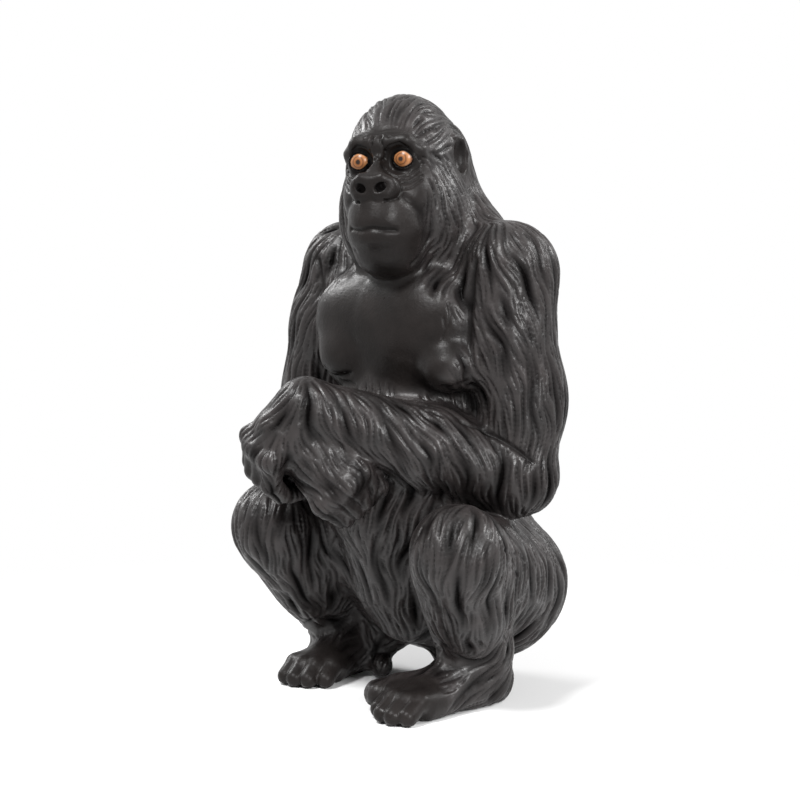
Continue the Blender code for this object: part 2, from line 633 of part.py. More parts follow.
def furrowed(obj, width, depth, points, places, strengths):
    """Presses a furrow along each line, deepest in its middle, and returns how far each vertex moved."""
    tree = kdtree.KDTree(len(points))
    for i, spot in enumerate(points):
        tree.insert(spot, i)
    tree.balance()
    spots = spots_of(obj)
    found = [tree.find(spot) for spot in spots]
    gap = np.array([f[2] for f in found])
    index = np.array([f[1] for f in found])
    push = depth * strengths[index] * np.sin(np.pi * (0.1 + 0.8 * places[index]))
    push *= np.clip(1 - gap / width, 0, 1) ** 1.5 * haired(spots)
    if width > 0.8:
        push *= coarse(spots)
    moved_to(obj, spots - normals_of(obj) * push[:, None])
    return push


def normals_of(obj):
    flat = np.empty(len(obj.data.vertices) * 3, np.float32)
    obj.data.vertex_normals.foreach_get("vector", flat)
    return flat.reshape(-1, 3).astype(float)


def sculpt(voxel=0.5):
    clay = gorilla()
    bm = bmesh.new()
    for form in clay.forms:
        if not form.cut:
            form.block(bm)
    obj = mesh_object("gorilla_figure", bm)
    remeshed(obj, voxel)
    settled(obj, clay)
    remeshed(obj, voxel * 0.85)
    settled(obj, clay, rounds=2)
    spots = spots_of(obj)
    moved_to(obj, spots - clay.facing(spots) * clay.pressed(spots)[:, None])
    furrowed(obj, LOCK_WIDTH, LOCK_DEPTH, *lock_lines(clay, spots, LOCK_SPACING, LOCK_LENGTH, 7))
    return obj, clay


def stood(obj):
    """Cuts the soles flat on the ground and puts the middle of the footprint at the origin, in metres."""
    bm = bmesh.new()
    bmesh.ops.create_cube(bm, size=1.0, matrix=Matrix.Translation((0, 0, GROUND - 5.0)) @ Matrix.Diagonal((90, 90, 10, 1)))
    ground = mesh_object("ground_cutter", bm)
    flat = obj.modifiers.new("flat soles", "BOOLEAN")
    flat.operation = "DIFFERENCE"
    flat.object = ground
    applied(obj)
    bpy.data.objects.remove(ground)
    bm = bmesh.new()
    bm.from_mesh(obj.data)
    bmesh.ops.triangulate(bm, faces=bm.faces[:])
    bm.to_mesh(obj.data)
    bm.free()
    spots = spots_of(obj)
    low, high = spots.min(axis=0), spots.max(axis=0)
    return moved_to(obj, (spots - np.array([(low[0] + high[0]) / 2, (low[1] + high[1]) / 2, low[2]])) * MM)


def build():
    for obj in list(bpy.data.objects):
        bpy.data.objects.remove(obj)
    obj, _ = sculpt()
    fewer = obj.modifiers.new("fewer", "DECIMATE")
    fewer.ratio = MOST_TRIANGLES / (2 * len(obj.data.polygons))
    applied(obj)
    stood(obj)
    skin = bpy.data.materials.new("skin")
    skin.use_nodes = True
    shader = skin.node_tree.nodes["Principled BSDF"]
    shader.inputs["Base Color"].default_value = (0.022, 0.019, 0.018, 1.0)
    shader.inputs["Roughness"].default_value = 0.45
    obj.data.materials.append(skin)
    figurine = bpy.data.collections.new("gorilla_figurine")
    bpy.context.scene.collection.children.link(figurine)
    bpy.context.scene.collection.objects.unlink(obj)
    figurine.objects.link(obj)
    print("triangles", len(obj.data.polygons))


if __name__ == "__main__":
    build()
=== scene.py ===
"""The gorilla figurine dressed for its picture: fine moulded fur, skin folds, painted eyes, studio."""

import json
import math
import random

import bmesh
import bpy
import numpy as np
from mathutils import Euler, Matrix, Vector, kdtree

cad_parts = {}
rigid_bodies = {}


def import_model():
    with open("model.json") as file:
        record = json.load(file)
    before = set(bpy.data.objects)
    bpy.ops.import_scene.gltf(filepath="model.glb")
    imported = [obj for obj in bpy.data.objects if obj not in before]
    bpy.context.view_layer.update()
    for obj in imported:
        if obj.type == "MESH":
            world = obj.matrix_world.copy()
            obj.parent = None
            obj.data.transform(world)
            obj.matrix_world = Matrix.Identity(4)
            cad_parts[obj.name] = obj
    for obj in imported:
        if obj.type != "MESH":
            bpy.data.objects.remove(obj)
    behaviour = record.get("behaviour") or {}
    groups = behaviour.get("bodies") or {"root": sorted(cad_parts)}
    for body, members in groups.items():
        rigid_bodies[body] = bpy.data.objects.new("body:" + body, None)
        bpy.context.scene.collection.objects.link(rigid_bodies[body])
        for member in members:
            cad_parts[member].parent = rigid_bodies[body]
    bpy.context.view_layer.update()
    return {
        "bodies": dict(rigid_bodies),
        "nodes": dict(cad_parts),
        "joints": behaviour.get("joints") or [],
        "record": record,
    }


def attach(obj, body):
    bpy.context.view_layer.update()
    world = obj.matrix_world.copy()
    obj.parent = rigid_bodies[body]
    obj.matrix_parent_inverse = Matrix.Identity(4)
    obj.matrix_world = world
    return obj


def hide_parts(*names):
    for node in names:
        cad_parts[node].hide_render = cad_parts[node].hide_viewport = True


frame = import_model()

MM = 0.001


def point(x, y, z):
    return Vector((x, y, z))


def mirrored(p):
    return Vector((-p.x, p.y, p.z))


def along(a, b, share):
    return a.lerp(b, share)


def placed(origin, tilt=0.0, turn=0.0, roll=0.0):
    """A frame at origin, rolled about Y, tilted about X, then turned about Z, in degrees."""
    angles = Euler((math.radians(tilt), math.radians(roll), math.radians(turn)), "YXZ")
    return Matrix.Translation(origin) @ angles.to_matrix().to_4x4()


class Ball:
    """An ellipsoid."""

    def __init__(self, frame, radii, blend, cut):
        self.frame, self.radii, self.blend, self.cut = frame, np.array(radii, float), blend, cut
        self.inverse = np.array(frame.inverted())
        self.centre = np.array(frame.translation)
        self.reach = max(radii)

    def distance(self, points):
        local = points @ self.inverse[:3, :3].T + self.inverse[:3, 3]
        near = np.linalg.norm(local / self.radii, axis=1) + 1e-9
        slope = np.linalg.norm(local / self.radii**2, axis=1) + 1e-9
        return near * (near - 1.0) / slope

    def block(self, bm):
        size = Matrix.Diagonal((*self.radii, 1.0))
        bmesh.ops.create_icosphere(bm, subdivisions=3, radius=1.0, matrix=self.frame @ size)


class Bone:
    """A tapered limb with round ends."""

    def __init__(self, start, end, start_radius, end_radius, blend, cut):
        self.start, self.end, self.blend, self.cut = start, end, blend, cut
        self.start_radius, self.end_radius = start_radius, end_radius
        self.centre = np.array((start + end) / 2)
        self.reach = (end - start).length / 2 + max(start_radius, end_radius)

    def distance(self, points):
        run = np.array(self.end - self.start)
        offset = points - np.array(self.start)
        share = np.clip(offset @ run / (run @ run + 1e-12), 0.0, 1.0)
        radius = self.start_radius + share * (self.end_radius - self.start_radius)
        return np.linalg.norm(offset - share[:, None] * run, axis=1) - radius

    def block(self, bm):
        run = self.end - self.start
        turn = run.to_track_quat("Z", "Y").to_matrix().to_4x4()
        lie = Matrix.Translation((self.start + self.end) / 2) @ turn
        bmesh.ops.create_cone(bm, cap_ends=True, segments=20, radius1=self.start_radius,
                              radius2=self.end_radius, depth=run.length, matrix=lie)
        for end, radius in ((self.start, self.start_radius), (self.end, self.end_radius)):
            bmesh.ops.create_icosphere(bm, subdivisions=2, radius=radius, matrix=Matrix.Translation(end))


class Crease:
    """A soft groove pressed in along a line, or a ridge where depth is below zero."""

    def __init__(self, start, end, width, depth):
        self.line = Bone(start, end, 0.0, 0.0, 0.0, False)
        self.width, self.depth = width, depth
        self.centre, self.reach = self.line.centre, self.line.reach


class Clay:
    """Forms laid on one after another, each blended into what is there already."""

    def __init__(self):
        self.forms = []
        self.lines = []
        self.creases = []

    def ball(self, frame, radii, blend=1.0, cut=False):
        if isinstance(frame, Vector):
            frame = Matrix.Translation(frame)
        self.forms.append(Ball(frame, radii, blend, cut))

    def bone(self, start, end, start_radius, end_radius, blend=1.0, cut=False):
        self.forms.append(Bone(start, end, start_radius, end_radius, blend, cut))

    def chain(self, points, radii, blend=1.0, cut=False):
        for i in range(len(points) - 1):
            self.bone(points[i], points[i + 1], radii[i], radii[i + 1], blend, cut)

    def crease(self, points, width, depth):
        self.lines.append((points, width, depth))

    def seat_creases(self):
        """Lays the creases' lines on the finished surface."""
        for points, width, depth in self.lines:
            spots = np.array([tuple(p) for p in points])
            for _ in range(4):
                spots = spots - self.field(spots)[:, None] * self.facing(spots)
            for a, b in zip(spots[:-1], spots[1:]):
                self.creases.append(Crease(Vector(a), Vector(b), width, depth))

    def pressed(self, points):
        """How far the creases push the surface in at each point."""
        press = np.zeros(len(points))
        rise = np.zeros(len(points))
        for crease in self.creases:
            gap = np.linalg.norm(points - crease.centre, axis=1)
            near = np.nonzero(gap < crease.reach + 3 * crease.width)[0]
            if len(near):
                push = crease.depth * np.exp(-(crease.line.distance(points[near]) / crease.width) ** 2)
                press[near] = np.maximum(press[near], push)
                rise[near] = np.minimum(rise[near], push)
        return press + rise

    def field(self, points):
        """Signed distance to the blended surface, for points near it."""
        margin, cell = 3.0, 4.0
        value = np.full(len(points), 50.0)
        x, y, z = np.floor(points / cell).astype(int).T + 64
        keys, place = np.unique((x * 128 + y) * 128 + z, return_inverse=True)
        order = np.argsort(place, kind="stable")
        ends = np.searchsorted(place[order], np.arange(len(keys) + 1))
        middles = (np.stack([keys // 16384, keys // 128 % 128, keys % 128], axis=1) - 63.5) * cell
        for form in self.forms:
            gap = np.linalg.norm(middles - form.centre, axis=1)
            close = np.nonzero(gap < form.reach + margin + cell)[0]
            if not len(close):
                continue
            near = np.concatenate([order[ends[i]:ends[i + 1]] for i in close])
            near = near[np.linalg.norm(points[near] - form.centre, axis=1) < form.reach + margin]
            new, old = form.distance(points[near]), value[near]
            if form.cut:
                overlap = np.maximum(form.blend - np.abs(old + new), 0.0)
                value[near] = np.maximum(old, -new) + overlap**2 / (4 * form.blend)
            else:
                overlap = np.maximum(form.blend - np.abs(old - new), 0.0)
                value[near] = np.minimum(old, new) - overlap**2 / (4 * form.blend)
        return value

    def facing(self, points):
        """Unit vectors out of the blended surface."""
        step = 0.02
        value = self.field(points)
        slope = np.stack([self.field(points + step * axis) - value for axis in np.eye(3)], axis=1)
        return slope / (np.linalg.norm(slope, axis=1, keepdims=True) + 1e-9)


# Skeleton
SHOULDER_LEFT = point(14.0, 1.0, 52.0)
SHOULDER_RIGHT = point(-13.8, 1.2, 52.0)
ELBOW_LEFT = point(16.4, 0.3, 27.4)
ELBOW_RIGHT = point(-19.0, -2.0, 27.5)
WRIST_LEFT = point(-1.5, -18.8, 36.0)
WRIST_RIGHT = point(-1.7, -17.8, 30.7)
HIP_LEFT = point(9.2, 7.0, 13.0)
HIP_RIGHT = mirrored(HIP_LEFT)
KNEE_LEFT = point(16.5, -11.5, 19.3)
KNEE_RIGHT = point(-15.0, -10.7, 19.5)
ANKLE_LEFT = point(11.5, -1.6, 6.0)
ANKLE_RIGHT = point(-14.6, 1.2, 6.0)
KNEE_HOLLOW = point(18.2, -2.6, 10.3)

# Girths: half the width, depth and height of the trunk's masses, and the limbs' radii
CHEST_X, CHEST_Y, CHEST_Z = 12.2, 10.0, 12.5
BELLY_X, BELLY_Y, BELLY_Z = 12.6, 11.5, 15.0
RUMP_X, RUMP_Y, RUMP_Z = 13.0, 9.8, 11.3
NECK_R = 8.0
UPPER_ARM_R, ELBOW_R, FOREARM_R, WRIST_R = 5.0, 4.5, 5.1, 3.6
THIGH_R, KNEE_R, SHIN_R, ANKLE_R = 7.2, 5.2, 5.0, 3.9
FINGER_R = 1.4
TOE_R = 1.15

# Height and head
GROUND = -0.85
HEIGHT = 75.0
CROWN = 11.64
HEAD = point(0.3, -3.0, GROUND + HEIGHT - CROWN)
HEAD_TURN = 21.0
HEAD_ROLL = 3.0
EYE_X, EYE_Y, EYE_Z, EYE_R = 2.85, -6.7, 3.25, 1.5
EYE_SLANT = 8

# Hair moulded in locks: furrows pressed in along the way it lies
LOCK_SPACING = 2.0
LOCK_LENGTH = 9.0
LOCK_WIDTH = 1.1
LOCK_DEPTH = 0.55
TRACE_STEP = 0.3
HEAD_HAIR = 9.5
HEAD_HAIR_LIES = [
    ((0, -7.5, 8), (0, 0.5, 1)),
    ((3.5, -6, 8), (0.5, 0.6, 0.8)),
    ((-3.5, -6, 8), (-0.5, 0.6, 0.8)),
    ((5.5, -3, 6), (0.3, 1, 0.3)),
    ((-5.5, -3, 6), (-0.3, 1, 0.3)),
    ((0, -2, 11.3), (0, 1, 0.1)),
    ((4, 1, 10), (0.3, 1, -0.4)),
    ((-4, 1, 10), (-0.3, 1, -0.4)),
    ((0, 7, 7), (0, 0.4, -1)),
    ((0, 9, -1), (0, 0.1, -1)),
    ((6.5, 4, 3), (0.1, 0.5, -1)),
    ((-6.5, 4, 3), (-0.1, 0.5, -1)),
    ((5.8, -4, 1.5), (0.3, 0.5, -0.9)),
    ((-5.8, -4, 1.5), (-0.3, 0.5, -0.9)),
    ((6.8, -3.5, -4), (-0.1, 0.1, -1)),
    ((-6.8, -3.5, -4), (0.1, 0.1, -1)),
    ((6.5, 1, -5), (0, 0, -1)),
    ((-6.5, 1, -5), (0, 0, -1)),
    ((4.5, -5, -9), (-0.5, -0.3, -0.6)),
    ((-4.5, -5, -9), (0.5, -0.3, -0.6)),
    ((0, -7, -11), (0, 0.6, -0.4)),
]
HAIR_LIES = [
    ((0, -8, 51), (0, 0.3, -1)),
    ((9, 3, 57), (0.8, 0.1, -0.8)),
    ((-9, 3, 57), (-0.8, 0.1, -0.8)),
    ((18, 0, 54), (0.5, 0.2, -1)),
    ((-18, 0, 54), (-0.5, 0.2, -1)),
    ((15, -5, 46), (0.4, 0.3, -1)),
    ((-15, -5, 46), (-0.4, 0.3, -1)),
    ((21, 2, 40), (0, 0.2, -1)),
    ((-21, 2, 40), (0, 0.2, -1)),
    ((0, 14, 48), (0, 0.1, -1)),
    ((0, 15, 30), (0, 0, -1)),
    ((20, 2, 29), (-0.2, -0.1, -1)),
    ((10, -9, 32), (0.5, 0.3, -0.9)),
    ((2, -17, 37), (0.2, 0.1, -1)),
    ((-5, -22, 35), (-0.7, -0.3, -0.6)),
    ((-20, -4, 28), (0.2, -0.3, -1)),
    ((-10, -12, 28), (-0.3, 0.1, -1)),
    ((3, -21, 29), (0.8, -0.1, -0.6)),
    ((17, -13, 24), (0, -0.4, -1)),
    ((-15, -13, 24), (0, -0.4, -1)),
    ((18, 0, 18), (0.1, 0.2, -1)),
    ((-18, 0, 18), (-0.1, 0.2, -1)),
    ((16, -8, 11), (-0.2, 0.4, -1)),
    ((-15, -6, 11), (0.1, 0.5, -1)),
    ((10, 14, 14), (0.2, 0.1, -1)),
    ((-10, 14, 14), (-0.2, 0.1, -1)),
    ((8, 9, 4), (-0.6, -0.4, -0.6)),
    ((-8, 9, 4), (0.6, -0.4, -0.6)),
    ((7, -9, 22), (-0.5, 0.1, -1)),
    ((-7, -9, 22), (0.5, 0.1, -1)),
    ((0, -8, 12), (0, 0.3, -1)),
    ((11, -8, 4), (0, -1, -0.3)),
    ((-13, -3, 4), (0.2, -1, -0.3)),
]
FACE_SKIN = [
    ((0, -10.0, 1.6), 6.0),
    ((0, -11.0, -4.6), 5.6),
    ((7.6, 1.0, 3.2), 1.9),
    ((-7.6, 1.0, 3.2), 1.9),
]
BARE_SKIN = [
    ((2.0, -12, 43.5), 5.0),
    ((0.5, -9.5, 49), 6.5),
    ((6.5, -9.5, 44), 6.0),
    ((-5.5, -9.5, 44), 6.0),
    ((-9.5, -22.5, 27.5), 4.0),
    ((8.2, -17.5, 22.5), 3.2),
    ((11, -15.5, 0), 5.5),
    ((-11, -9.0, 0), 5.0),
    ((0, 0, -9), 10.0),
]


def torso(clay):
    clay.ball(point(0, 1.8, 43.0), (CHEST_X, CHEST_Y, CHEST_Z))
    clay.ball(point(0, 3.2, 49.5), (13.0, 8.0, 7.0), blend=3)
    clay.ball(point(0, 7.2, 43.5), (9.5, 6.8, 11.5), blend=4)
    clay.ball(point(0, 6.0, 36.0), (12.6, 8.8, 16.0), blend=4)
    clay.ball(point(0, -0.5, 27.0), (BELLY_X, BELLY_Y, BELLY_Z), blend=4)
    clay.ball(point(0, 5.8, 15.0), (RUMP_X, RUMP_Y, RUMP_Z), blend=4)
    clay.ball(point(0, -0.6, 14.0), (8.2, 7.8, 8.4), blend=4)
    clay.ball(point(0, 8.5, 4.2), (4.5, 4.5, 5.7), blend=2)
    clay.bone(point(0, -7.0, 22.0), point(0, -3.4, 8.6), 6.0, 2.6, blend=2)
    for side in (1, -1):
        clay.ball(point(side * 6.0, 7.4, 11.0), (7.9, 7.8, 8.6), blend=2)
        clay.bone(point(side * 11.0, 2.4, 52.6), point(side * 2.0, 2.6, 60.5), 4.2, 4.6, blend=3)
        clay.ball(point(side * 6.0, -4.6, 46.0), (6.6, 4.6, 6.0), blend=3)
        clay.bone(point(side * 7.5, 9.5, 50.0), point(side * 5.5, 11.0, 36.0), 4.5, 4.0, blend=4)
    clay.ball(point(1.5, -4.9, 45.8), (8.6, 4.6, 7.6), blend=2.5)
    clay.ball(point(10.3, -5.9, 40.9), (3.5, 3.5, 3.1), blend=1.6)
    clay.ball(point(-6.2, -6.2, 41.6), (4.0, 3.4, 3.2), blend=2.2)
    clay.bone(point(-6.4, 4.0, 9.4), point(-8.4, 2.4, 4.4), 4.6, 2.9, blend=2)
    clay.bone(point(0, 2.0, 53.0), along(point(0, 2, 53), HEAD, 0.8), NECK_R, NECK_R - 2.0, blend=3)


def arm(clay, shoulder, elbow, wrist):
    clay.ball(shoulder, (UPPER_ARM_R + 0.4, UPPER_ARM_R + 0.5, UPPER_ARM_R + 1.2), blend=3)
    clay.bone(shoulder, elbow, UPPER_ARM_R, ELBOW_R, blend=3)
    clay.ball(along(shoulder, elbow, 0.32) + point(0, -0.8, 0),
              (UPPER_ARM_R + 0.2, UPPER_ARM_R + 0.4, 7.5), blend=2)
    clay.ball(along(shoulder, elbow, 0.62) + point(0, 1.3, 0),
              (UPPER_ARM_R + 0.4, UPPER_ARM_R + 0.4, 7.2), blend=2)
    clay.ball(elbow, (ELBOW_R - 0.5, ELBOW_R - 0.4, ELBOW_R - 0.2), blend=1.5)
    clay.bone(along(elbow, wrist, 0.12), along(elbow, wrist, 0.42), FOREARM_R - 0.5, FOREARM_R, blend=1.2)
    clay.bone(along(elbow, wrist, 0.42), wrist, FOREARM_R, WRIST_R, blend=1.5)


def leg(clay, hip, knee, ankle):
    clay.bone(hip, knee, THIGH_R, KNEE_R, blend=3)
    clay.ball(knee, (KNEE_R, KNEE_R, KNEE_R + 0.3), blend=2)
    clay.bone(knee, ankle, SHIN_R, ANKLE_R, blend=2)
    clay.ball(along(knee, ankle, 0.45) + point(0, 0.6, 0), (SHIN_R + 0.2, SHIN_R + 0.8, 6.2), blend=2)
    clay.bone(along(knee, ankle, 0.2) + point(-0.6, -0.6, 0), ankle + point(-0.6, -1.6, 0.5),
              SHIN_R, ANKLE_R + 0.1, blend=1.5)


def foot(clay, ankle, heading, reach, big_toe, side):
    """heading turns the foot inwards, in degrees; reach is how far the toes come forward.

    big_toe is the place and the half thickness of its tip.
    """
    frame = placed(point(ankle.x, ankle.y, GROUND - 0.35), turn=-side * heading)

    def at(x, y, z):
        return frame @ point(side * x, y * reach, z)

    clay.bone(ankle, at(-0.3, 0.8, 4.2), ANKLE_R - 0.1, 3.5, blend=1.5)
    clay.bone(at(-0.3, 2.0, 2.7), at(-0.6, -3.0, 3.8), 3.0, 3.4, blend=1.5)
    clay.bone(at(-0.8, -2.5, 4.0), at(-1.3, -10.5, 2.2), 3.2, 2.4, blend=1.5)
    clay.bone(at(0.8, 0.5, 2.2), at(0.9, -11.0, 1.9), 2.0, 1.8, blend=1.5)
    clay.bone(at(-2.0, -2.5, 2.6), at(-2.9, -9.5, 2.0), 2.2, 1.9, blend=1.5)
    tips = ((-4.0, -13.9), (-2.1, -15.4), (-0.2, -15.7), (1.5, -14.9))
    for x, y in tips:
        root = at(x * 0.75 - 0.4, y + 5.6, 2.5)
        knuckle = at(x * 0.95 - 0.1, y + 2.4, 2.7)
        clay.bone(root, knuckle, TOE_R + 0.15, TOE_R + 0.1, blend=0.8)
        clay.bone(knuckle, at(x, y, TOE_R + 0.15), TOE_R, TOE_R, blend=0.3)
    x, y, girth = big_toe
    clay.bone(at(-2.2, -3.0, 2.8), at(x + 1.2, y + 2.0, girth + 0.9), 2.1, girth + 0.1, blend=1.2)
    clay.bone(at(x + 1.2, y + 2.0, girth + 0.9), at(x, y, girth + 0.4), girth, girth, blend=0.4)


def head_frame():
    return placed(HEAD, turn=HEAD_TURN, roll=-HEAD_ROLL)


def head(clay):
    frame = head_frame()

    def at(x, y, z):
        return frame @ point(x, y, z)

    def ball(centre, radii, blend=1.0, cut=False, tilt=0.0, turn=0.0, roll=0.0):
        clay.ball(frame @ placed(point(*centre), tilt, turn, roll), radii, blend, cut)

    def chain(points, radii, blend=1.0, cut=False):
        clay.chain([at(*p) for p in points], radii, blend, cut)

    def crease(points, width, depth):
        clay.crease([at(*p) for p in points], width, depth)

    # Skull, jaw and the ruff of hair round the face
    ball((0, 0.4, 3.3), (6.9, 8.6, CROWN - 3.3), blend=2)
    ball((0, 3.6, -1.5), (6.6, 5.6, 8.0), blend=3)
    ball((0, -0.6, -3.8), (7.4, 6.2, 7.2), blend=2)
    for side in (1, -1):
        ball((side * 5.3, -1.8, -3.4), (2.6, 3.6, 5.6), blend=2)
    # Face mask and muzzle
    ball((0, -4.8, 1.4), (5.1, 3.5, 5.0), blend=1.5)
    ball((0, -6.6, -5.2), (4.9, 5.2, 4.2), blend=1.2)
    ball((0, -5.7, -8.2), (4.3, 4.4, 2.9), blend=1.5)
    ball((0, -8.6, -2.6), (3.5, 3.0, 2.6), blend=1.8)
    ball((0, -10.2, -4.1), (2.3, 1.5, 0.9), blend=1.2)
    ball((0, -10.5, -6.1), (1.7, 1.2, 0.7), blend=1.1)
    # Nose: a broad low bridge, and a ring round each nostril
    chain([(0, -7.6, 4.6), (0, -8.3, 2.8), (0, -9.6, 1.2)], (0.7, 0.8, 1.5), blend=1.4)
    ball((0, -10.6, 0.1), (1.0, 1.3, 1.3), blend=1.0)
    for side in (1, -1):
        ball((side * 1.5, -10.0, -0.2), (1.6, 1.5, 1.6), blend=1.0)
        chain([(side * 0.5, -11.3, 0.9), (side * 1.3, -11.1, 1.05), (side * 2.1, -10.6, 0.6),
               (side * 2.35, -10.3, -0.3), (side * 1.8, -10.9, -0.95), (side * 0.8, -11.3, -0.95)],
              (0.45, 0.45, 0.45, 0.45, 0.35, 0.35), blend=0.7)
        ball((side * 1.25, -10.4, -0.1), (0.85, 2.6, 0.5), blend=0.25, cut=True, roll=side * -28)
    # Brow, sockets, eyes
    brow = [(-4.7, -5.4, 2.4), (-4.5, -6.3, 4.3), (-3.1, -7.4, 5.35), (-1.2, -7.8, 5.3), (0, -7.8, 4.9),
            (1.2, -7.8, 5.3), (3.1, -7.4, 5.35), (4.5, -6.3, 4.3), (4.7, -5.4, 2.4)]
    chain(brow, (0.5, 0.6, 0.75, 0.8, 0.75, 0.8, 0.75, 0.6, 0.5), blend=1.2)
    for side in (1, -1):
        ball((side * 2.8, -9.3, 2.95), (2.3, 2.35, 2.15), blend=0.5, cut=True)
        ball((side * EYE_X, EYE_Y, EYE_Z), (EYE_R + 0.3, EYE_R + 0.22, EYE_R + 0.2), blend=0.4)
        ball((side * 3.1, -5.9, -1.1), (2.5, 3.0, 3.1), blend=1.6)
        chain([(side * 1.5, -8.2, 1.0), (side * 2.9, -7.9, 0.4),
               (side * 4.1, -6.9, 0.8), (side * 4.7, -5.8, 2.2)],
              (0.4, 0.45, 0.45, 0.4), blend=0.8)
        ball((side * EYE_X, EYE_Y - EYE_R, EYE_Z), (EYE_R - 0.1, EYE_R, EYE_R - 0.4),
             blend=0.1, cut=True, roll=side * EYE_SLANT)
        ball((side * EYE_X, EYE_Y, EYE_Z), (EYE_R, EYE_R, EYE_R), blend=0.04)
    # Mouth and the fold beside the muzzle
    crease([(-2.6, -10.0, -4.9), (-1.4, -11.3, -5.1), (0, -11.8, -4.9), (1.3, -11.3, -5.1),
            (2.4, -10.4, -5.3)], 0.3, 0.26)
    for side in (1, -1):
        crease([(side * 3.2, -9.2, -1.6), (side * 4.6, -7.8, -3.2), (side * 4.9, -6.8, -6.4)], 0.6, 0.22)
    # Ears: a raised rim round a hollow
    for side in (1, -1):
        ball((side * 5.0, 3.6, 1.6), (2.2, 3.4, 5.4), blend=1.8)
        ball((side * 6.3, 0.9, 3.2), (0.7, 2.0, 2.8), blend=0.6, turn=side * -18)
        chain([(side * 6.3, -0.9, 4.8), (side * 6.6, 0.1, 5.8), (side * 7.0, 1.4, 5.5),
               (side * 7.2, 2.1, 4.0), (side * 7.1, 1.9, 2.2), (side * 7.0, 1.0, 0.8),
               (side * 6.8, 0.2, 0.9)],
              (0.35, 0.4, 0.45, 0.45, 0.45, 0.45, 0.4), blend=0.4)
        ball((side * 7.3, 0.5, 3.4), (0.95, 1.15, 1.9), blend=0.3, cut=True, turn=side * -18)


def hand(clay, wrist, forward, back, palm, curl, girth, side):
    """forward runs along the back of the hand, and back points out of it."""
    forward = forward.normalized()
    back = (back - forward * back.dot(forward)).normalized()
    across = back.cross(forward) * side
    clay.bone(wrist, wrist + forward * palm * 0.5, girth, girth, blend=1.5)
    clay.ball(wrist + forward * palm * 0.85 - back * 1.6, (2.6, 2.6, 2.6), blend=1.5)
    for i in range(4):
        offset = across * (i - 1.5)
        rise = back * (0.5 - 0.3 * abs(i - 1.5))
        knuckle = wrist + forward * (palm - 0.35 * abs(i - 1.2)) + offset * 2.0 + rise
        clay.bone(wrist + forward * palm * 0.35 + offset * 1.3, knuckle, 2.0, FINGER_R, blend=1.2)
        clay.ball(knuckle + back * 0.25, (FINGER_R + 0.15,) * 3, blend=0.5)
        bend, spot, length, radius = 0.0, knuckle, 3.5, FINGER_R
        for angle in curl:
            bend += math.radians(angle)
            end = spot + (forward * math.cos(bend) - back * math.sin(bend)) * length - offset * 0.12
            clay.bone(spot, end, radius, radius - 0.1, blend=0.35)
            spot, length, radius = end, length * 0.75, radius - 0.1
    thumb = wrist + forward * palm * 0.5 - across * 3.0 - back * 1.2
    clay.bone(wrist + forward * 1.5 - across * 1.2, thumb, 1.9, 1.5, blend=1.0)
    clay.bone(thumb, thumb + forward * 3.4 - back * 0.8, FINGER_R, FINGER_R - 0.25, blend=0.5)


def hands(clay):
    hand(clay, WRIST_RIGHT, point(0.74, 0.08, -0.67), point(0.25, -0.92, 0.3), 7.0, (62, 85, 60), 3.2, -1)
    hand(clay, WRIST_LEFT, point(-0.55, -0.47, -0.69), point(0.02, -0.83, 0.55), 7.8, (50, 35, 45), 3.4, 1)


def gorilla():
    clay = Clay()
    torso(clay)
    leg(clay, HIP_LEFT, KNEE_LEFT, ANKLE_LEFT)
    leg(clay, HIP_RIGHT, KNEE_RIGHT, ANKLE_RIGHT)
    for hollow in (KNEE_HOLLOW, mirrored(KNEE_HOLLOW)):
        clay.ball(hollow, (1.4, 1.0, 1.6), blend=1.0, cut=True)
    foot(clay, ANKLE_LEFT, 0.0, 1.0, (-6.4, -11.4, 1.9), 1)
    foot(clay, ANKLE_RIGHT, 12.0, 0.78, (-7.4, -3.4, 1.5), -1)
    head(clay)
    arm(clay, SHOULDER_RIGHT, ELBOW_RIGHT, WRIST_RIGHT)
    arm(clay, SHOULDER_LEFT, ELBOW_LEFT, WRIST_LEFT)
    hands(clay)
    clay.seat_creases()
    return clay


def mesh_object(name, bm):
    mesh = bpy.data.meshes.new(name)
    bm.to_mesh(mesh)
    bm.free()
    obj = bpy.data.objects.new(name, mesh)
    bpy.context.scene.collection.objects.link(obj)
    return obj


def applied(obj):
    """Applies the object's modifiers to its mesh."""
    graph = bpy.context.evaluated_depsgraph_get()
    mesh = bpy.data.meshes.new_from_object(obj.evaluated_get(graph))
    obj.modifiers.clear()
    obj.data = mesh
    return obj


def outer_shell(obj):
    """Keeps the largest connected surface and drops what is sealed inside it."""
    bm = bmesh.new()
    bm.from_mesh(obj.data)
    left, largest = set(bm.verts), []
    while left:
        found, edge = [], [left.pop()]
        while edge:
            vert = edge.pop()
            found.append(vert)
            for link in vert.link_edges:
                other = link.other_vert(vert)
                if other in left:
                    left.remove(other)
                    edge.append(other)
        largest = max(largest, found, key=len)
    kept = set(largest)
    bmesh.ops.delete(bm, geom=[v for v in bm.verts if v not in kept], context="VERTS")
    bm.to_mesh(obj.data)
    bm.free()
    return obj


def remeshed(obj, voxel):
    modifier = obj.modifiers.new("fuse", "REMESH")
    modifier.mode = "VOXEL"
    modifier.voxel_size = voxel
    return outer_shell(applied(obj))


def settled(obj, clay, rounds=3):
    """Moves each vertex on to the blended surface."""
    spots = spots_of(obj)
    step = 0.02
    for _ in range(rounds):
        value = clay.field(spots)
        slope = np.stack([clay.field(spots + step * axis) - value for axis in np.eye(3)], axis=1) / step
        length = np.maximum(np.linalg.norm(slope, axis=1), 0.3)
        move = np.clip(value / length, -1.0, 1.0)
        spots = spots - (move / length)[:, None] * slope
    return moved_to(obj, spots)


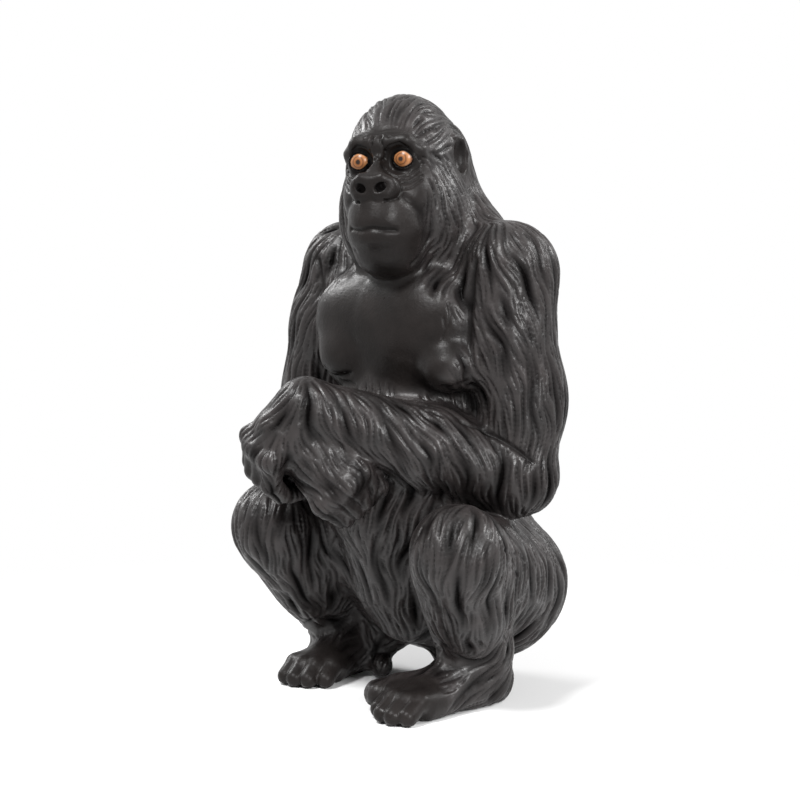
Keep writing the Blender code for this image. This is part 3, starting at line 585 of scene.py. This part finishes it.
def spots_of(obj):
    flat = np.empty(len(obj.data.vertices) * 3)
    obj.data.vertices.foreach_get("co", flat)
    return flat.reshape(-1, 3)


def moved_to(obj, spots):
    obj.data.vertices.foreach_set("co", spots.ravel())
    obj.data.update()
    return obj


def hair_places():
    """Every place where the lie of the hair is set, and the way it lies there."""
    frame = head_frame()
    turned = [(frame @ point(*place), frame.to_3x3() @ point(*lie)) for place, lie in HEAD_HAIR_LIES]
    return [(np.array(place), np.array(lie) / np.linalg.norm(lie)) for place, lie in turned + HAIR_LIES]


def hair_flow(spots):
    """The way the moulded hair lies at each spot."""
    total = np.zeros_like(spots)
    for place, lie in hair_places():
        gap = ((spots - place) ** 2).sum(axis=1)
        total += lie / (gap[:, None] + 1.0) ** 2
    return total


def haired(spots):
    """1 where there is hair, 0 on bare skin."""
    frame = head_frame()
    share = np.ones(len(spots))
    for place, radius in [(frame @ point(*place), radius) for place, radius in FACE_SKIN] + BARE_SKIN:
        gap = np.linalg.norm(spots - np.array(place), axis=1)
        share = np.minimum(share, np.clip((gap - radius) / 1.5, 0.0, 1.0))
    return share


def coarse(spots):
    """How deep the locks are: 1 on the body, and less on the head, where the hair is short."""
    gap = np.linalg.norm(spots - np.array(HEAD), axis=1)
    return np.clip((gap - HEAD_HAIR) / 5.0, 0.3, 1.0)


def hair_sway(spots):
    """A slow turn, in radians, that makes neighbouring locks wave together."""
    x, y, z = spots.T
    waves = np.sin(0.55 * x + 0.8 * z) + np.sin(0.7 * y - 0.9 * z + 2.0)
    return 0.12 * (waves + np.sin(1.1 * x + 0.9 * y - 0.4 * z))


def traced(clay, starts, length, drift):
    """Lines from each start along the hair over the surface, as points (lines, steps, 3)."""
    line = starts
    path = [line]
    for _ in range(int(length / TRACE_STEP)):
        facing = clay.facing(line)
        lie = hair_flow(line)
        lie -= facing * (lie * facing).sum(axis=1, keepdims=True)
        lie /= np.linalg.norm(lie, axis=1, keepdims=True) + 1e-9
        lie = lie + (drift + hair_sway(line))[:, None] * np.cross(facing, lie)
        line = line + TRACE_STEP * lie / np.linalg.norm(lie, axis=1, keepdims=True)
        line = line - clay.field(line)[:, None] * facing
        path.append(line)
    return np.array(path).swapaxes(0, 1)


def lock_lines(clay, spots, spacing, length, seed):
    """Lines that follow the hair and keep a spacing apart: their points, places along them and strengths."""
    chance = random.Random(seed)
    order = np.nonzero(haired(spots) > 0.4)[0].tolist()
    chance.shuffle(order)
    starts = thinned(spots, order, spacing * 0.8)
    drift = np.array([chance.uniform(-0.12, 0.12) for _ in starts])
    paths = traced(clay, spots[starts], length, drift)
    around = [(a, b, c) for a in (-1, 0, 1) for b in (-1, 0, 1) for c in (-1, 0, 1)]
    taken, points, places, strengths = {}, [], [], []
    for path in paths.tolist():
        kept = []
        for spot in path:
            x, y, z = (math.floor(value / spacing) for value in spot)
            near = (other for a, b, c in around for other in taken.get((x + a, y + b, z + c), ()))
            if any(math.dist(spot, other) < spacing for other in near):
                break
            kept.append(spot)
        if len(kept) * TRACE_STEP < 0.3 * length:
            continue
        strength = chance.uniform(0.6, 1.0)
        for i, spot in enumerate(kept):
            taken.setdefault(tuple(math.floor(value / spacing) for value in spot), []).append(spot)
            points.append(spot)
            places.append((i + 0.5) / len(kept))
            strengths.append(strength)
    return np.array(points), np.array(places), np.array(strengths)


def thinned(spots, order, spacing):
    """Indices of spots in the given order, none closer than the spacing to one before it."""
    cells = np.floor(spots / spacing).astype(int).tolist()
    around = [(a, b, c) for a in (-1, 0, 1) for b in (-1, 0, 1) for c in (-1, 0, 1)]
    kept, grid = [], {}
    for i in order:
        x, y, z = cells[i]
        near = [j for a, b, c in around for j in grid.get((x + a, y + b, z + c), ())]
        if all(math.dist(spots[i], spots[j]) > spacing for j in near):
            grid.setdefault((x, y, z), []).append(i)
            kept.append(i)
    return kept


def furrowed(obj, width, depth, points, places, strengths):
    """Presses a furrow along each line, deepest in its middle, and returns how far each vertex moved."""
    tree = kdtree.KDTree(len(points))
    for i, spot in enumerate(points):
        tree.insert(spot, i)
    tree.balance()
    spots = spots_of(obj)
    found = [tree.find(spot) for spot in spots]
    gap = np.array([f[2] for f in found])
    index = np.array([f[1] for f in found])
    push = depth * strengths[index] * np.sin(np.pi * (0.1 + 0.8 * places[index]))
    push *= np.clip(1 - gap / width, 0, 1) ** 1.5 * haired(spots)
    if width > 0.8:
        push *= coarse(spots)
    moved_to(obj, spots - normals_of(obj) * push[:, None])
    return push


def normals_of(obj):
    flat = np.empty(len(obj.data.vertices) * 3, np.float32)
    obj.data.vertex_normals.foreach_get("vector", flat)
    return flat.reshape(-1, 3).astype(float)


# Sizes in millimetres of the scene's own mesh, and the heights where it is parted
ROUGH_VOXEL = 0.55
FINE_VOXEL = 0.2
FIGURE_TRIANGLES = 540000
CUTS = (21.0, 36.0, 53.5)
# Where the part's origin lies in the forms' own millimetres
MIDDLE = np.array([-0.62052, -4.5655, GROUND])
# Spacing, length, width, depth and seed of the locks and of the two layers of finer hair on them
HAIR_LAYERS = ((LOCK_SPACING, LOCK_LENGTH, LOCK_WIDTH, LOCK_DEPTH, 7),
               (0.9, 7.0, 0.42, 0.42, 11),
               (0.48, 5.0, 0.27, 0.36, 13))
# The way each eye looks, in the head's frame
GAZE = {1: (-0.08, -1.0, 0.0), -1: (0.0, -1.0, -0.04)}
LID_HALF_WIDTH, LID_HALF_HEIGHT = 1.5, 1.0

# The photograph's camera: pixels to a millimetre, the middle's place across, and the eye level's place down
CAMERA_SCALE = 7.93
CAMERA_TURN, CAMERA_DISTANCE, CAMERA_HEIGHT = 42.0, 260.0, 58.6
PICTURE, PICTURE_MIDDLE, PICTURE_LEVEL = 800, 420.0, 219.8
SENSOR = 36.0


def in_part_frame(spot):
    """A spot in the forms' millimetres as metres in the part's frame."""
    return (np.array(spot, float) - MIDDLE) * MM


def share_attribute(obj, name, values):
    layer = obj.data.attributes.new(name, "FLOAT", "POINT")
    layer.data.foreach_set("value", np.asarray(values, np.float32))


def face_details(clay):
    """A fold and bags round each eye, frown lines, and lines round the nose."""
    frame = head_frame()

    def crease(points, width, depth):
        clay.crease([frame @ point(*p) for p in points], width, depth)

    for side in (1, -1):
        # A fold above the eye, and bags in rings below it
        crease([(side * 0.9, -8.4, 3.4), (side * 1.7, -9.0, 4.5), (side * 2.9, -9.0, 4.95),
                (side * 4.2, -8.2, 4.2), (side * 4.8, -7.0, 3.0)], 0.16, 0.2)
        bags = ((0.0, 0.16, 0.12), (0.5, 0.17, 0.12), (1.05, 0.16, 0.13), (1.7, 0.12, 0.13))
        for drop, push, width in bags:
            crease([(side * (1.2 + drop * 0.5), -8.6, 1.9 - drop * 0.8),
                    (side * (2.3 + drop * 0.4), -8.8, 1.05 - drop),
                    (side * (3.5 + drop * 0.2), -8.2, 1.1 - drop * 0.9),
                    (side * (4.5 - drop * 0.1), -6.8, 2.0 - drop)], width, push)
        crease([(side * 4.9, -6.6, 3.4), (side * 5.5, -5.4, 3.0)], 0.14, 0.14)
        crease([(side * 4.9, -6.6, 2.6), (side * 5.6, -5.2, 1.8)], 0.14, 0.14)
        # Frown lines, and the edge of the nose's wing
        crease([(side * 0.45, -8.6, 6.4), (side * 0.65, -8.8, 5.2), (side * 1.0, -8.6, 4.2)], 0.2, 0.26)
        crease([(side * 1.1, -8.6, 6.4), (side * 1.5, -8.6, 5.9)], 0.2, 0.15)
        crease([(side * 2.9, -9.4, 1.2), (side * 3.1, -9.4, -0.3), (side * 2.7, -10.0, -1.5),
                (side * 1.6, -11.0, -1.75)], 0.2, 0.28)
    crease([(-1.3, -8.8, 2.4), (0, -9.3, 2.0), (1.3, -8.8, 2.4)], 0.16, 0.2)
    crease([(-1.1, -8.8, 3.2), (0, -9.1, 2.9), (1.1, -8.8, 3.2)], 0.16, 0.14)
    crease([(-3.6, -7.6, 6.7), (-1.5, -8.4, 7.0), (1.5, -8.4, 7.0), (3.6, -7.6, 6.7)], 0.22, 0.16)


def body_details(clay):
    """Folds of skin on the chest, at the left elbow, behind the knees and on the thighs."""
    def crease(points, width, depth):
        clay.crease([point(*p) for p in points], width, depth)

    crease([(13.0, -4.8, 53.5), (12.8, -5.3, 49.0), (13.0, -5.8, 44.2), (12.4, -5.1, 39.3)], 0.55, 0.5)
    crease([(-13.6, -4.3, 53.5), (-12.0, -6.0, 49.0), (-11.0, -7.6, 43.0), (-10.4, -8.0, 39.0)], 0.55, 0.5)
    for side in (1, -1):
        crease([(side * 2.4, -10, 55), (side * 6.5, -9, 53.5), (side * 11, -5, 53.5)], 0.35, 0.14)
    for x, z, run in ((11.4, 49.0, 3.4), (10.6, 46.8, 2.6)):
        crease([(x, -7.5, z), (x + 0.3, -7.5, z - run * 0.5), (x - 0.2, -7.5, z - run)], 0.16, 0.16)
    crease([(5.6, -11, 38.9), (8.4, -10.6, 37.6), (11.5, -8.6, 37.9), (12.6, -6.2, 39.6)], 0.4, 0.3)
    crease([(-4.0, -11, 38.9), (-7.4, -10.4, 38.0), (-10.4, -8.4, 39.4)], 0.35, 0.25)
    for z in (39.2, 38.2, 37.4):
        crease([(-8.8, -10.2, z + 0.3), (-6.0, -11.0, z - 0.5), (-3.4, -11.2, z)], 0.18, 0.16)
    # The fold inside the left elbow
    crease([(13.2, -7.1, 34.6), (14.3, -5.2, 33.7), (16.7, -4.3, 32.5), (18.9, -3.2, 31.0),
            (20.0, -2.2, 29.8)], 0.3, 0.5)
    # Rings of skin round the hollow behind each knee, and cracks on the thigh
    for side in (1, -1):
        for reach, push in ((1.5, 0.3), (2.5, 0.22)):
            ring = [(side * KNEE_HOLLOW.x, KNEE_HOLLOW.y + reach * math.cos(turn),
                     KNEE_HOLLOW.z + 1.3 * reach * math.sin(turn))
                    for turn in (0.2, 1.1, 2.0, 2.9, 3.8, 4.7, 5.6)]
            crease(ring, 0.2, push)
        crease([(side * 21.9, -9.9, 20.3), (side * 21.0, -7.3, 19.5), (side * 19.8, -4.5, 19.0)], 0.15, 0.25)
        crease([(side * 21.9, -8.9, 18.5), (side * 20.5, -6.1, 17.5), (side * 19.9, -4.2, 16.4)], 0.15, 0.25)
        crease([(side * 19.5, -3.7, 18.6), (side * 19.0, -1.8, 17.4), (side * 19.0, -1.5, 15.6)], 0.15, 0.25)
        crease([(side * 20.6, -5.6, 17.4), (side * 20.4, -5.0, 15.6)], 0.15, 0.2)
        crease([(side * 20.8, -7.2, 19.3), (side * 20.6, -5.6, 17.6)], 0.15, 0.2)


def finer(obj, near):
    """Splits every edge whose ends both lie in one of the given balls."""
    bm = bmesh.new()
    bm.from_mesh(obj.data)
    chosen = []
    for edge in bm.edges:
        ends = [vert.co for vert in edge.verts]
        if any(all((end - place).length < reach for end in ends) for place, reach in near):
            chosen.append(edge)
    bmesh.ops.subdivide_edges(bm, edges=chosen, cuts=1, use_grid_fill=True)
    bm.to_mesh(obj.data)
    bm.free()
    return obj


def figure_mesh():
    clay = gorilla()
    bm = bmesh.new()
    for form in clay.forms:
        if not form.cut:
            form.block(bm)
    obj = mesh_object("gorilla_skin", bm)
    remeshed(obj, ROUGH_VOXEL)
    settled(obj, clay, rounds=2)
    remeshed(obj, FINE_VOXEL)
    frame = head_frame()
    finer(obj, [(frame @ point(0, -9.0, 1.6), 6.6), (frame @ point(0, -10.5, -3.5), 5.0)])
    settled(obj, clay, rounds=1)
    face_details(clay)
    body_details(clay)
    clay.creases = []
    clay.seat_creases()
    spots = spots_of(obj)
    hair = haired(spots)
    pressed = clay.pressed(spots)
    moved_to(obj, spots - normals_of(obj) * pressed[:, None])
    # Painted shade: how much each vertex's colour is darkened and its specular level lowered, from the depth
    # of its creases and furrows and from the painted darkness of the hollows
    painted_groove_shade = np.maximum(pressed, 0) * 0.6
    for spacing, length, width, depth, seed in HAIR_LAYERS:
        painted_groove_shade += furrowed(obj, width, depth, *lock_lines(clay, spots, spacing, length, seed))
    painted_groove_shade += painted_hollow_shade(spots)
    share_attribute(obj, "hair", hair)
    share_attribute(obj, "painted_groove_shade", painted_groove_shade)
    fewer = obj.modifiers.new("fewer", "DECIMATE")
    fewer.ratio = min(1.0, FIGURE_TRIANGLES / (2 * len(obj.data.polygons)))
    applied(obj)
    spots = spots_of(obj)
    spots[:, 2] = np.maximum(spots[:, 2], GROUND)
    moved_to(obj, (spots - MIDDLE) * MM)
    obj.data.shade_smooth()
    return obj


def painted_hollow_shade(spots):
    """Painted shade: extra darkness inside the nostrils and round the eyes."""
    frame = head_frame()
    painted_shade = np.zeros(len(spots))
    for side in (1, -1):
        nostril, socket = point(side * 1.2, -11.0, -0.1), point(side * EYE_X, EYE_Y - 1.4, EYE_Z)
        for place, reach, share in ((nostril, 1.0, 1.0), (socket, 2.0, 0.5)):
            gap = np.linalg.norm(spots - np.array(frame @ place), axis=1)
            painted_shade = np.maximum(painted_shade, share * np.clip(1.6 - 1.6 * gap / reach, 0, 1))
    return painted_shade


def parted(obj):
    """The figure as four meshes that meet edge to edge and keep the normals of the whole."""
    count = len(obj.data.vertices)
    normals = np.empty(count * 3, np.float32)
    obj.data.vertex_normals.foreach_get("vector", normals)
    normals = normals.reshape(-1, 3)
    heights = np.array([polygon.center.z for polygon in obj.data.polygons]) / MM + MIDDLE[2]
    band = np.digitize(heights, CUTS)
    pieces = []
    for number, name in enumerate(("gorilla_legs", "gorilla_belly", "gorilla_chest", "gorilla_head")):
        mesh = obj.data.copy()
        order = mesh.attributes.new("order", "INT", "POINT")
        order.data.foreach_set("value", np.arange(count, dtype=np.int32))
        bm = bmesh.new()
        bm.from_mesh(mesh)
        bm.faces.ensure_lookup_table()
        bmesh.ops.delete(bm, geom=[bm.faces[i] for i in np.nonzero(band != number)[0]], context="FACES")
        bm.to_mesh(mesh)
        bm.free()
        kept = np.empty(len(mesh.vertices), np.int32)
        mesh.attributes["order"].data.foreach_get("value", kept)
        mesh.attributes.remove(mesh.attributes["order"])
        mesh.normals_split_custom_set_from_vertices(normals[kept])
        piece = bpy.data.objects.new(name, mesh)
        bpy.context.scene.collection.objects.link(piece)
        print(name, "triangles", sum(len(p.vertices) - 2 for p in mesh.polygons))
        pieces.append(piece)
    bpy.data.objects.remove(obj)
    return pieces


def eyeball(side):
    """An eye that fills the opening between its lids, with what its paint needs."""
    frame = head_frame()
    centre = frame @ point(side * EYE_X, EYE_Y, EYE_Z)
    bm = bmesh.new()
    bmesh.ops.create_uvsphere(bm, u_segments=64, v_segments=40, radius=(EYE_R + 0.06) * MM,
                              matrix=Matrix.Translation(in_part_frame(centre)))
    obj = mesh_object("eye_left" if side > 0 else "eye_right", bm)
    obj.data.shade_smooth()
    gaze = (frame.to_3x3() @ point(*GAZE[side])).normalized()
    pupil = in_part_frame(centre + gaze * EYE_R)
    turned = frame.to_3x3() @ Matrix.Rotation(math.radians(side * EYE_SLANT), 3, "Y")
    across, upward = (np.array(turned @ axis) for axis in (point(1, 0, 0), point(0, 0, 1)))
    return obj, (pupil, in_part_frame(centre), across, upward)


def node(tree, kind, x=0, y=0, **inputs):
    made = tree.nodes.new(kind)
    made.location = (x, y)
    for key, value in inputs.items():
        made.inputs[key.replace("_", " ")].default_value = value
    return made


def ramp(tree, stops, x=0, y=0):
    made = tree.nodes.new("ShaderNodeValToRGB")
    made.location = (x, y)
    while len(made.color_ramp.elements) < len(stops):
        made.color_ramp.elements.new(0.5)
    for element, (place, colour) in zip(made.color_ramp.elements, stops):
        element.position = place
        element.color = (*colour, 1.0)
    return made


def moulded_skin():
    """Dark moulded vinyl: fur browner on its ridges, painted shade that turns it black in its furrows, and
    duller bare skin.
    """
    material = bpy.data.materials.new("gorilla_skin")
    material.use_nodes = True
    tree = material.node_tree
    link = tree.links.new
    shader = tree.nodes["Principled BSDF"]
    shader.inputs["IOR"].default_value = 1.45
    coords = tree.nodes.new("ShaderNodeTexCoord")
    hair = tree.nodes.new("ShaderNodeAttribute")
    hair.attribute_name = "hair"
    painted_groove_shade = tree.nodes.new("ShaderNodeAttribute")
    painted_groove_shade.attribute_name = "painted_groove_shade"
    # Colour
    mottle = node(tree, "ShaderNodeTexNoise", Scale=260.0, Detail=4.0, Roughness=0.6)
    link(coords.outputs["Object"], mottle.inputs["Vector"])
    fur = ramp(tree, [(0.3, (0.012, 0.0105, 0.0103)), (0.7, (0.026, 0.0215, 0.021))])
    bare = ramp(tree, [(0.3, (0.0075, 0.0062, 0.0058)), (0.7, (0.014, 0.0115, 0.0108))])
    link(mottle.outputs["Fac"], fur.inputs["Fac"])
    link(mottle.outputs["Fac"], bare.inputs["Fac"])
    kind = node(tree, "ShaderNodeMix")
    kind.data_type = "RGBA"
    link(hair.outputs["Fac"], kind.inputs[0])
    link(bare.outputs["Color"], kind.inputs[6])
    link(fur.outputs["Color"], kind.inputs[7])
    # Painted shade: the groove shade amount, from furrows, creases and the painted hollows, as a share from
    # 0 to 1
    depth = node(tree, "ShaderNodeMapRange")
    depth.inputs["From Min"].default_value = 0.02
    depth.inputs["From Max"].default_value = 0.38
    link(painted_groove_shade.outputs["Fac"], depth.inputs["Value"])
    crest = node(tree, "ShaderNodeMapRange")
    crest.inputs["To Min"].default_value = 0.16
    crest.inputs["To Max"].default_value = 0.42
    link(hair.outputs["Fac"], crest.inputs["Value"])
    # Painted shade on the reflections: the specular level falls towards 0.02 as the groove shade deepens
    shine = node(tree, "ShaderNodeMapRange")
    shine.inputs["To Max"].default_value = 0.02
    link(crest.outputs["Result"], shine.inputs["To Min"])
    link(depth.outputs["Result"], shine.inputs["Value"])
    link(shine.outputs["Result"], shader.inputs["Specular IOR Level"])
    # Painted shade: the colour is mixed towards black by the groove shade
    painted_shade = node(tree, "ShaderNodeMix")
    painted_shade.data_type = "RGBA"
    painted_shade.inputs[7].default_value = (0.0015, 0.0012, 0.0012, 1)
    link(depth.outputs["Result"], painted_shade.inputs[0])
    link(kind.outputs[2], painted_shade.inputs[6])
    link(painted_shade.outputs[2], shader.inputs["Base Color"])
    shader.inputs["Specular IOR Level"].default_value = 0.3
    # Gloss: satin, patchy, with small shiny flecks
    patch = node(tree, "ShaderNodeTexNoise", Scale=900.0, Detail=3.0, Roughness=0.65)
    link(coords.outputs["Object"], patch.inputs["Vector"])
    gloss = node(tree, "ShaderNodeMapRange")
    gloss.inputs["From Min"].default_value = 0.3
    gloss.inputs["From Max"].default_value = 0.72
    gloss.inputs["To Min"].default_value = 0.5
    gloss.inputs["To Max"].default_value = 0.27
    link(patch.outputs["Fac"], gloss.inputs["Value"])
    link(gloss.outputs["Result"], shader.inputs["Roughness"])
    # Grain
    grain = node(tree, "ShaderNodeTexNoise", Scale=3800.0, Detail=3.0, Roughness=0.6)
    pores = node(tree, "ShaderNodeTexVoronoi", Scale=2300.0)
    link(coords.outputs["Object"], grain.inputs["Vector"])
    link(coords.outputs["Object"], pores.inputs["Vector"])
    fine = node(tree, "ShaderNodeBump", Strength=0.35, Distance=0.00006)
    link(grain.outputs["Fac"], fine.inputs["Height"])
    dots = node(tree, "ShaderNodeBump", Strength=0.12, Distance=0.00008)
    link(pores.outputs["Distance"], dots.inputs["Height"])
    link(fine.outputs["Normal"], dots.inputs["Normal"])
    link(dots.outputs["Normal"], shader.inputs["Normal"])
    return material


def painted_eye(name, pupil, centre, across, upward):
    """Amber paint with a darker ring and a black pupil, inside black lids."""
    material = bpy.data.materials.new(name)
    material.use_nodes = True
    tree = material.node_tree
    link = tree.links.new
    shader = tree.nodes["Principled BSDF"]
    shader.inputs["Roughness"].default_value = 0.3
    shader.inputs["Specular IOR Level"].default_value = 0.3
    coords = tree.nodes.new("ShaderNodeTexCoord")
    wobble = node(tree, "ShaderNodeTexNoise", Scale=2600.0, Detail=2.0)
    link(coords.outputs["Object"], wobble.inputs["Vector"])
    gap = node(tree, "ShaderNodeVectorMath")
    gap.operation = "DISTANCE"
    gap.inputs[1].default_value = tuple(pupil)
    link(coords.outputs["Object"], gap.inputs[0])
    far = node(tree, "ShaderNodeMath")
    far.operation = "MULTIPLY_ADD"
    far.inputs[1].default_value = 0.5 / MM
    link(gap.outputs["Value"], far.inputs[0])
    shake = node(tree, "ShaderNodeMath")
    shake.operation = "MULTIPLY_ADD"
    shake.inputs[1].default_value = 0.08
    shake.inputs[2].default_value = -0.04
    link(wobble.outputs["Fac"], shake.inputs[0])
    link(shake.outputs["Value"], far.inputs[2])
    paint = ramp(tree, [
        (0.0, (0.012, 0.007, 0.005)), (0.12, (0.02, 0.010, 0.006)), (0.16, (0.20, 0.075, 0.025)),
        (0.26, (0.30, 0.12, 0.04)), (0.32, (0.10, 0.04, 0.018)), (0.40, (0.30, 0.125, 0.045)),
        (0.54, (0.42, 0.19, 0.08)), (0.66, (0.12, 0.045, 0.02)), (0.74, (0.008, 0.006, 0.006))])
    link(far.outputs["Value"], paint.inputs["Fac"])
    # The lids: black beyond an almond between the corners of the eye
    offset = node(tree, "ShaderNodeVectorMath")
    offset.operation = "SUBTRACT"
    offset.inputs[1].default_value = tuple(centre)
    link(coords.outputs["Object"], offset.inputs[0])
    shares = []
    for direction, half in ((across, LID_HALF_WIDTH), (upward, LID_HALF_HEIGHT)):
        share = node(tree, "ShaderNodeVectorMath")
        share.operation = "DOT_PRODUCT"
        share.inputs[1].default_value = tuple(direction / (half * MM))
        link(offset.outputs["Vector"], share.inputs[0])
        size = node(tree, "ShaderNodeMath")
        size.operation = "ABSOLUTE"
        link(share.outputs["Value"], size.inputs[0])
        shares.append(size)
    bow = node(tree, "ShaderNodeMath")
    bow.operation = "POWER"
    bow.inputs[1].default_value = 1.7
    link(shares[0].outputs["Value"], bow.inputs[0])
    edge = node(tree, "ShaderNodeMath")
    edge.operation = "ADD"
    link(bow.outputs["Value"], edge.inputs[0])
    link(shares[1].outputs["Value"], edge.inputs[1])
    lid = ramp(tree, [(0.86, (0, 0, 0)), (0.98, (1, 1, 1))])
    link(edge.outputs["Value"], lid.inputs["Fac"])
    painted = node(tree, "ShaderNodeMix")
    painted.data_type = "RGBA"
    painted.inputs[7].default_value = (0.006, 0.005, 0.005, 1)
    link(lid.outputs["Color"], painted.inputs[0])
    link(paint.outputs["Color"], painted.inputs[6])
    link(painted.outputs[2], shader.inputs["Base Color"])
    return material


def assigned(obj, material):
    obj.data.materials.clear()
    obj.data.materials.append(material)
    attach(obj, "root")
    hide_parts("gorilla_figure")


def studio():
    """A white floor that fades into a white world, and four soft lamps."""
    bpy.ops.mesh.primitive_plane_add(size=0.3, location=(0, 0, -0.0002))
    floor = bpy.context.object
    floor.name = "floor"
    white = bpy.data.materials.new("floor_white")
    white.use_nodes = True
    tree = white.node_tree
    shader = tree.nodes["Principled BSDF"]
    shader.inputs["Base Color"].default_value = (0.86, 0.86, 0.86, 1)
    shader.inputs["Roughness"].default_value = 0.9
    shader.inputs["Specular IOR Level"].default_value = 0.1
    coords = tree.nodes.new("ShaderNodeTexCoord")
    reach = node(tree, "ShaderNodeVectorMath")
    reach.operation = "LENGTH"
    tree.links.new(coords.outputs["Object"], reach.inputs[0])
    fade = node(tree, "ShaderNodeMapRange")
    fade.interpolation_type = "SMOOTHSTEP"
    fade.inputs["From Min"].default_value = 0.035
    fade.inputs["From Max"].default_value = 0.11
    tree.links.new(reach.outputs["Value"], fade.inputs["Value"])
    clear = tree.nodes.new("ShaderNodeBsdfTransparent")
    blend = tree.nodes.new("ShaderNodeMixShader")
    tree.links.new(fade.outputs["Result"], blend.inputs["Fac"])
    tree.links.new(shader.outputs["BSDF"], blend.inputs[1])
    tree.links.new(clear.outputs["BSDF"], blend.inputs[2])
    tree.links.new(blend.outputs["Shader"], tree.nodes["Material Output"].inputs["Surface"])
    floor.data.materials.append(white)
    world = bpy.data.worlds.new("studio")
    bpy.context.scene.world = world
    world.use_nodes = True
    tree = world.node_tree
    seen = tree.nodes.new("ShaderNodeLightPath")
    light = tree.nodes["Background"]
    light.inputs["Color"].default_value = (1, 1, 1, 1)
    light.inputs["Strength"].default_value = 0.25
    plain = tree.nodes.new("ShaderNodeBackground")
    plain.inputs["Color"].default_value = (1, 1, 1, 1)
    plain.inputs["Strength"].default_value = 1.0
    mix = tree.nodes.new("ShaderNodeMixShader")
    rays = seen.outputs["Is Camera Ray"]
    for kind in ("Is Glossy Ray", "Is Transmission Ray"):
        either = tree.nodes.new("ShaderNodeMath")
        either.operation = "MAXIMUM"
        tree.links.new(rays, either.inputs[0])
        tree.links.new(seen.outputs[kind], either.inputs[1])
        rays = either.outputs["Value"]
    tree.links.new(rays, mix.inputs["Fac"])
    tree.links.new(light.outputs["Background"], mix.inputs[1])
    tree.links.new(plain.outputs["Background"], mix.inputs[2])
    tree.links.new(mix.outputs["Shader"], tree.nodes["World Output"].inputs["Surface"])
    middle = Vector((0, 0, 0.04))
    lamps = (("key", (0.05, -0.36, 0.50), 4.2, 0.16),
             ("side", (0.50, -0.16, 0.24), 2.8, 0.12),
             ("rim_left", (-0.42, -0.02, 0.30), 1.2, 0.16),
             ("rim_right", (0.30, 0.34, 0.34), 1.8, 0.16))
    for name, place, power, size in lamps:
        lamp = bpy.data.lights.new(name, "AREA")
        lamp.energy = power
        lamp.size = size
        lamp.shape = "DISK"
        obj = bpy.data.objects.new(name, lamp)
        bpy.context.scene.collection.objects.link(obj)
        obj.location = place
        obj.rotation_euler = (middle - Vector(place)).to_track_quat("-Z", "Y").to_euler()


def camera():
    """The camera stands a quarter of a metre off the figure's left front, a little above its middle."""
    azimuth = math.radians(CAMERA_TURN)
    focal = CAMERA_SCALE * CAMERA_DISTANCE
    back = point(math.sin(azimuth), -math.cos(azimuth), 0)
    right = point(math.cos(azimuth), math.sin(azimuth), 0)
    pitch = math.atan((PICTURE / 2 - PICTURE_LEVEL) / focal)
    yaw = math.atan((PICTURE_MIDDLE - PICTURE / 2) / focal)
    ahead = -back * math.cos(yaw) - right * math.sin(yaw)
    ahead = ahead * math.cos(pitch) - point(0, 0, 1) * math.sin(pitch)
    lens = bpy.data.cameras.new("camera")
    lens.sensor_width = SENSOR
    lens.lens = focal / PICTURE * SENSOR
    lens.clip_start = 0.01
    obj = bpy.data.objects.new("camera", lens)
    bpy.context.scene.collection.objects.link(obj)
    obj.location = in_part_frame(back * CAMERA_DISTANCE + point(0, 0, CAMERA_HEIGHT))
    obj.rotation_euler = ahead.to_track_quat("-Z", "Y").to_euler()
    bpy.context.scene.camera = obj


skin = moulded_skin()
for piece in parted(figure_mesh()):
    assigned(piece, skin)
for side in (1, -1):
    eye, marks = eyeball(side)
    assigned(eye, painted_eye("eye_paint_left" if side > 0 else "eye_paint_right", *marks))
studio()
camera()
bpy.context.scene.view_settings.view_transform = "Standard"
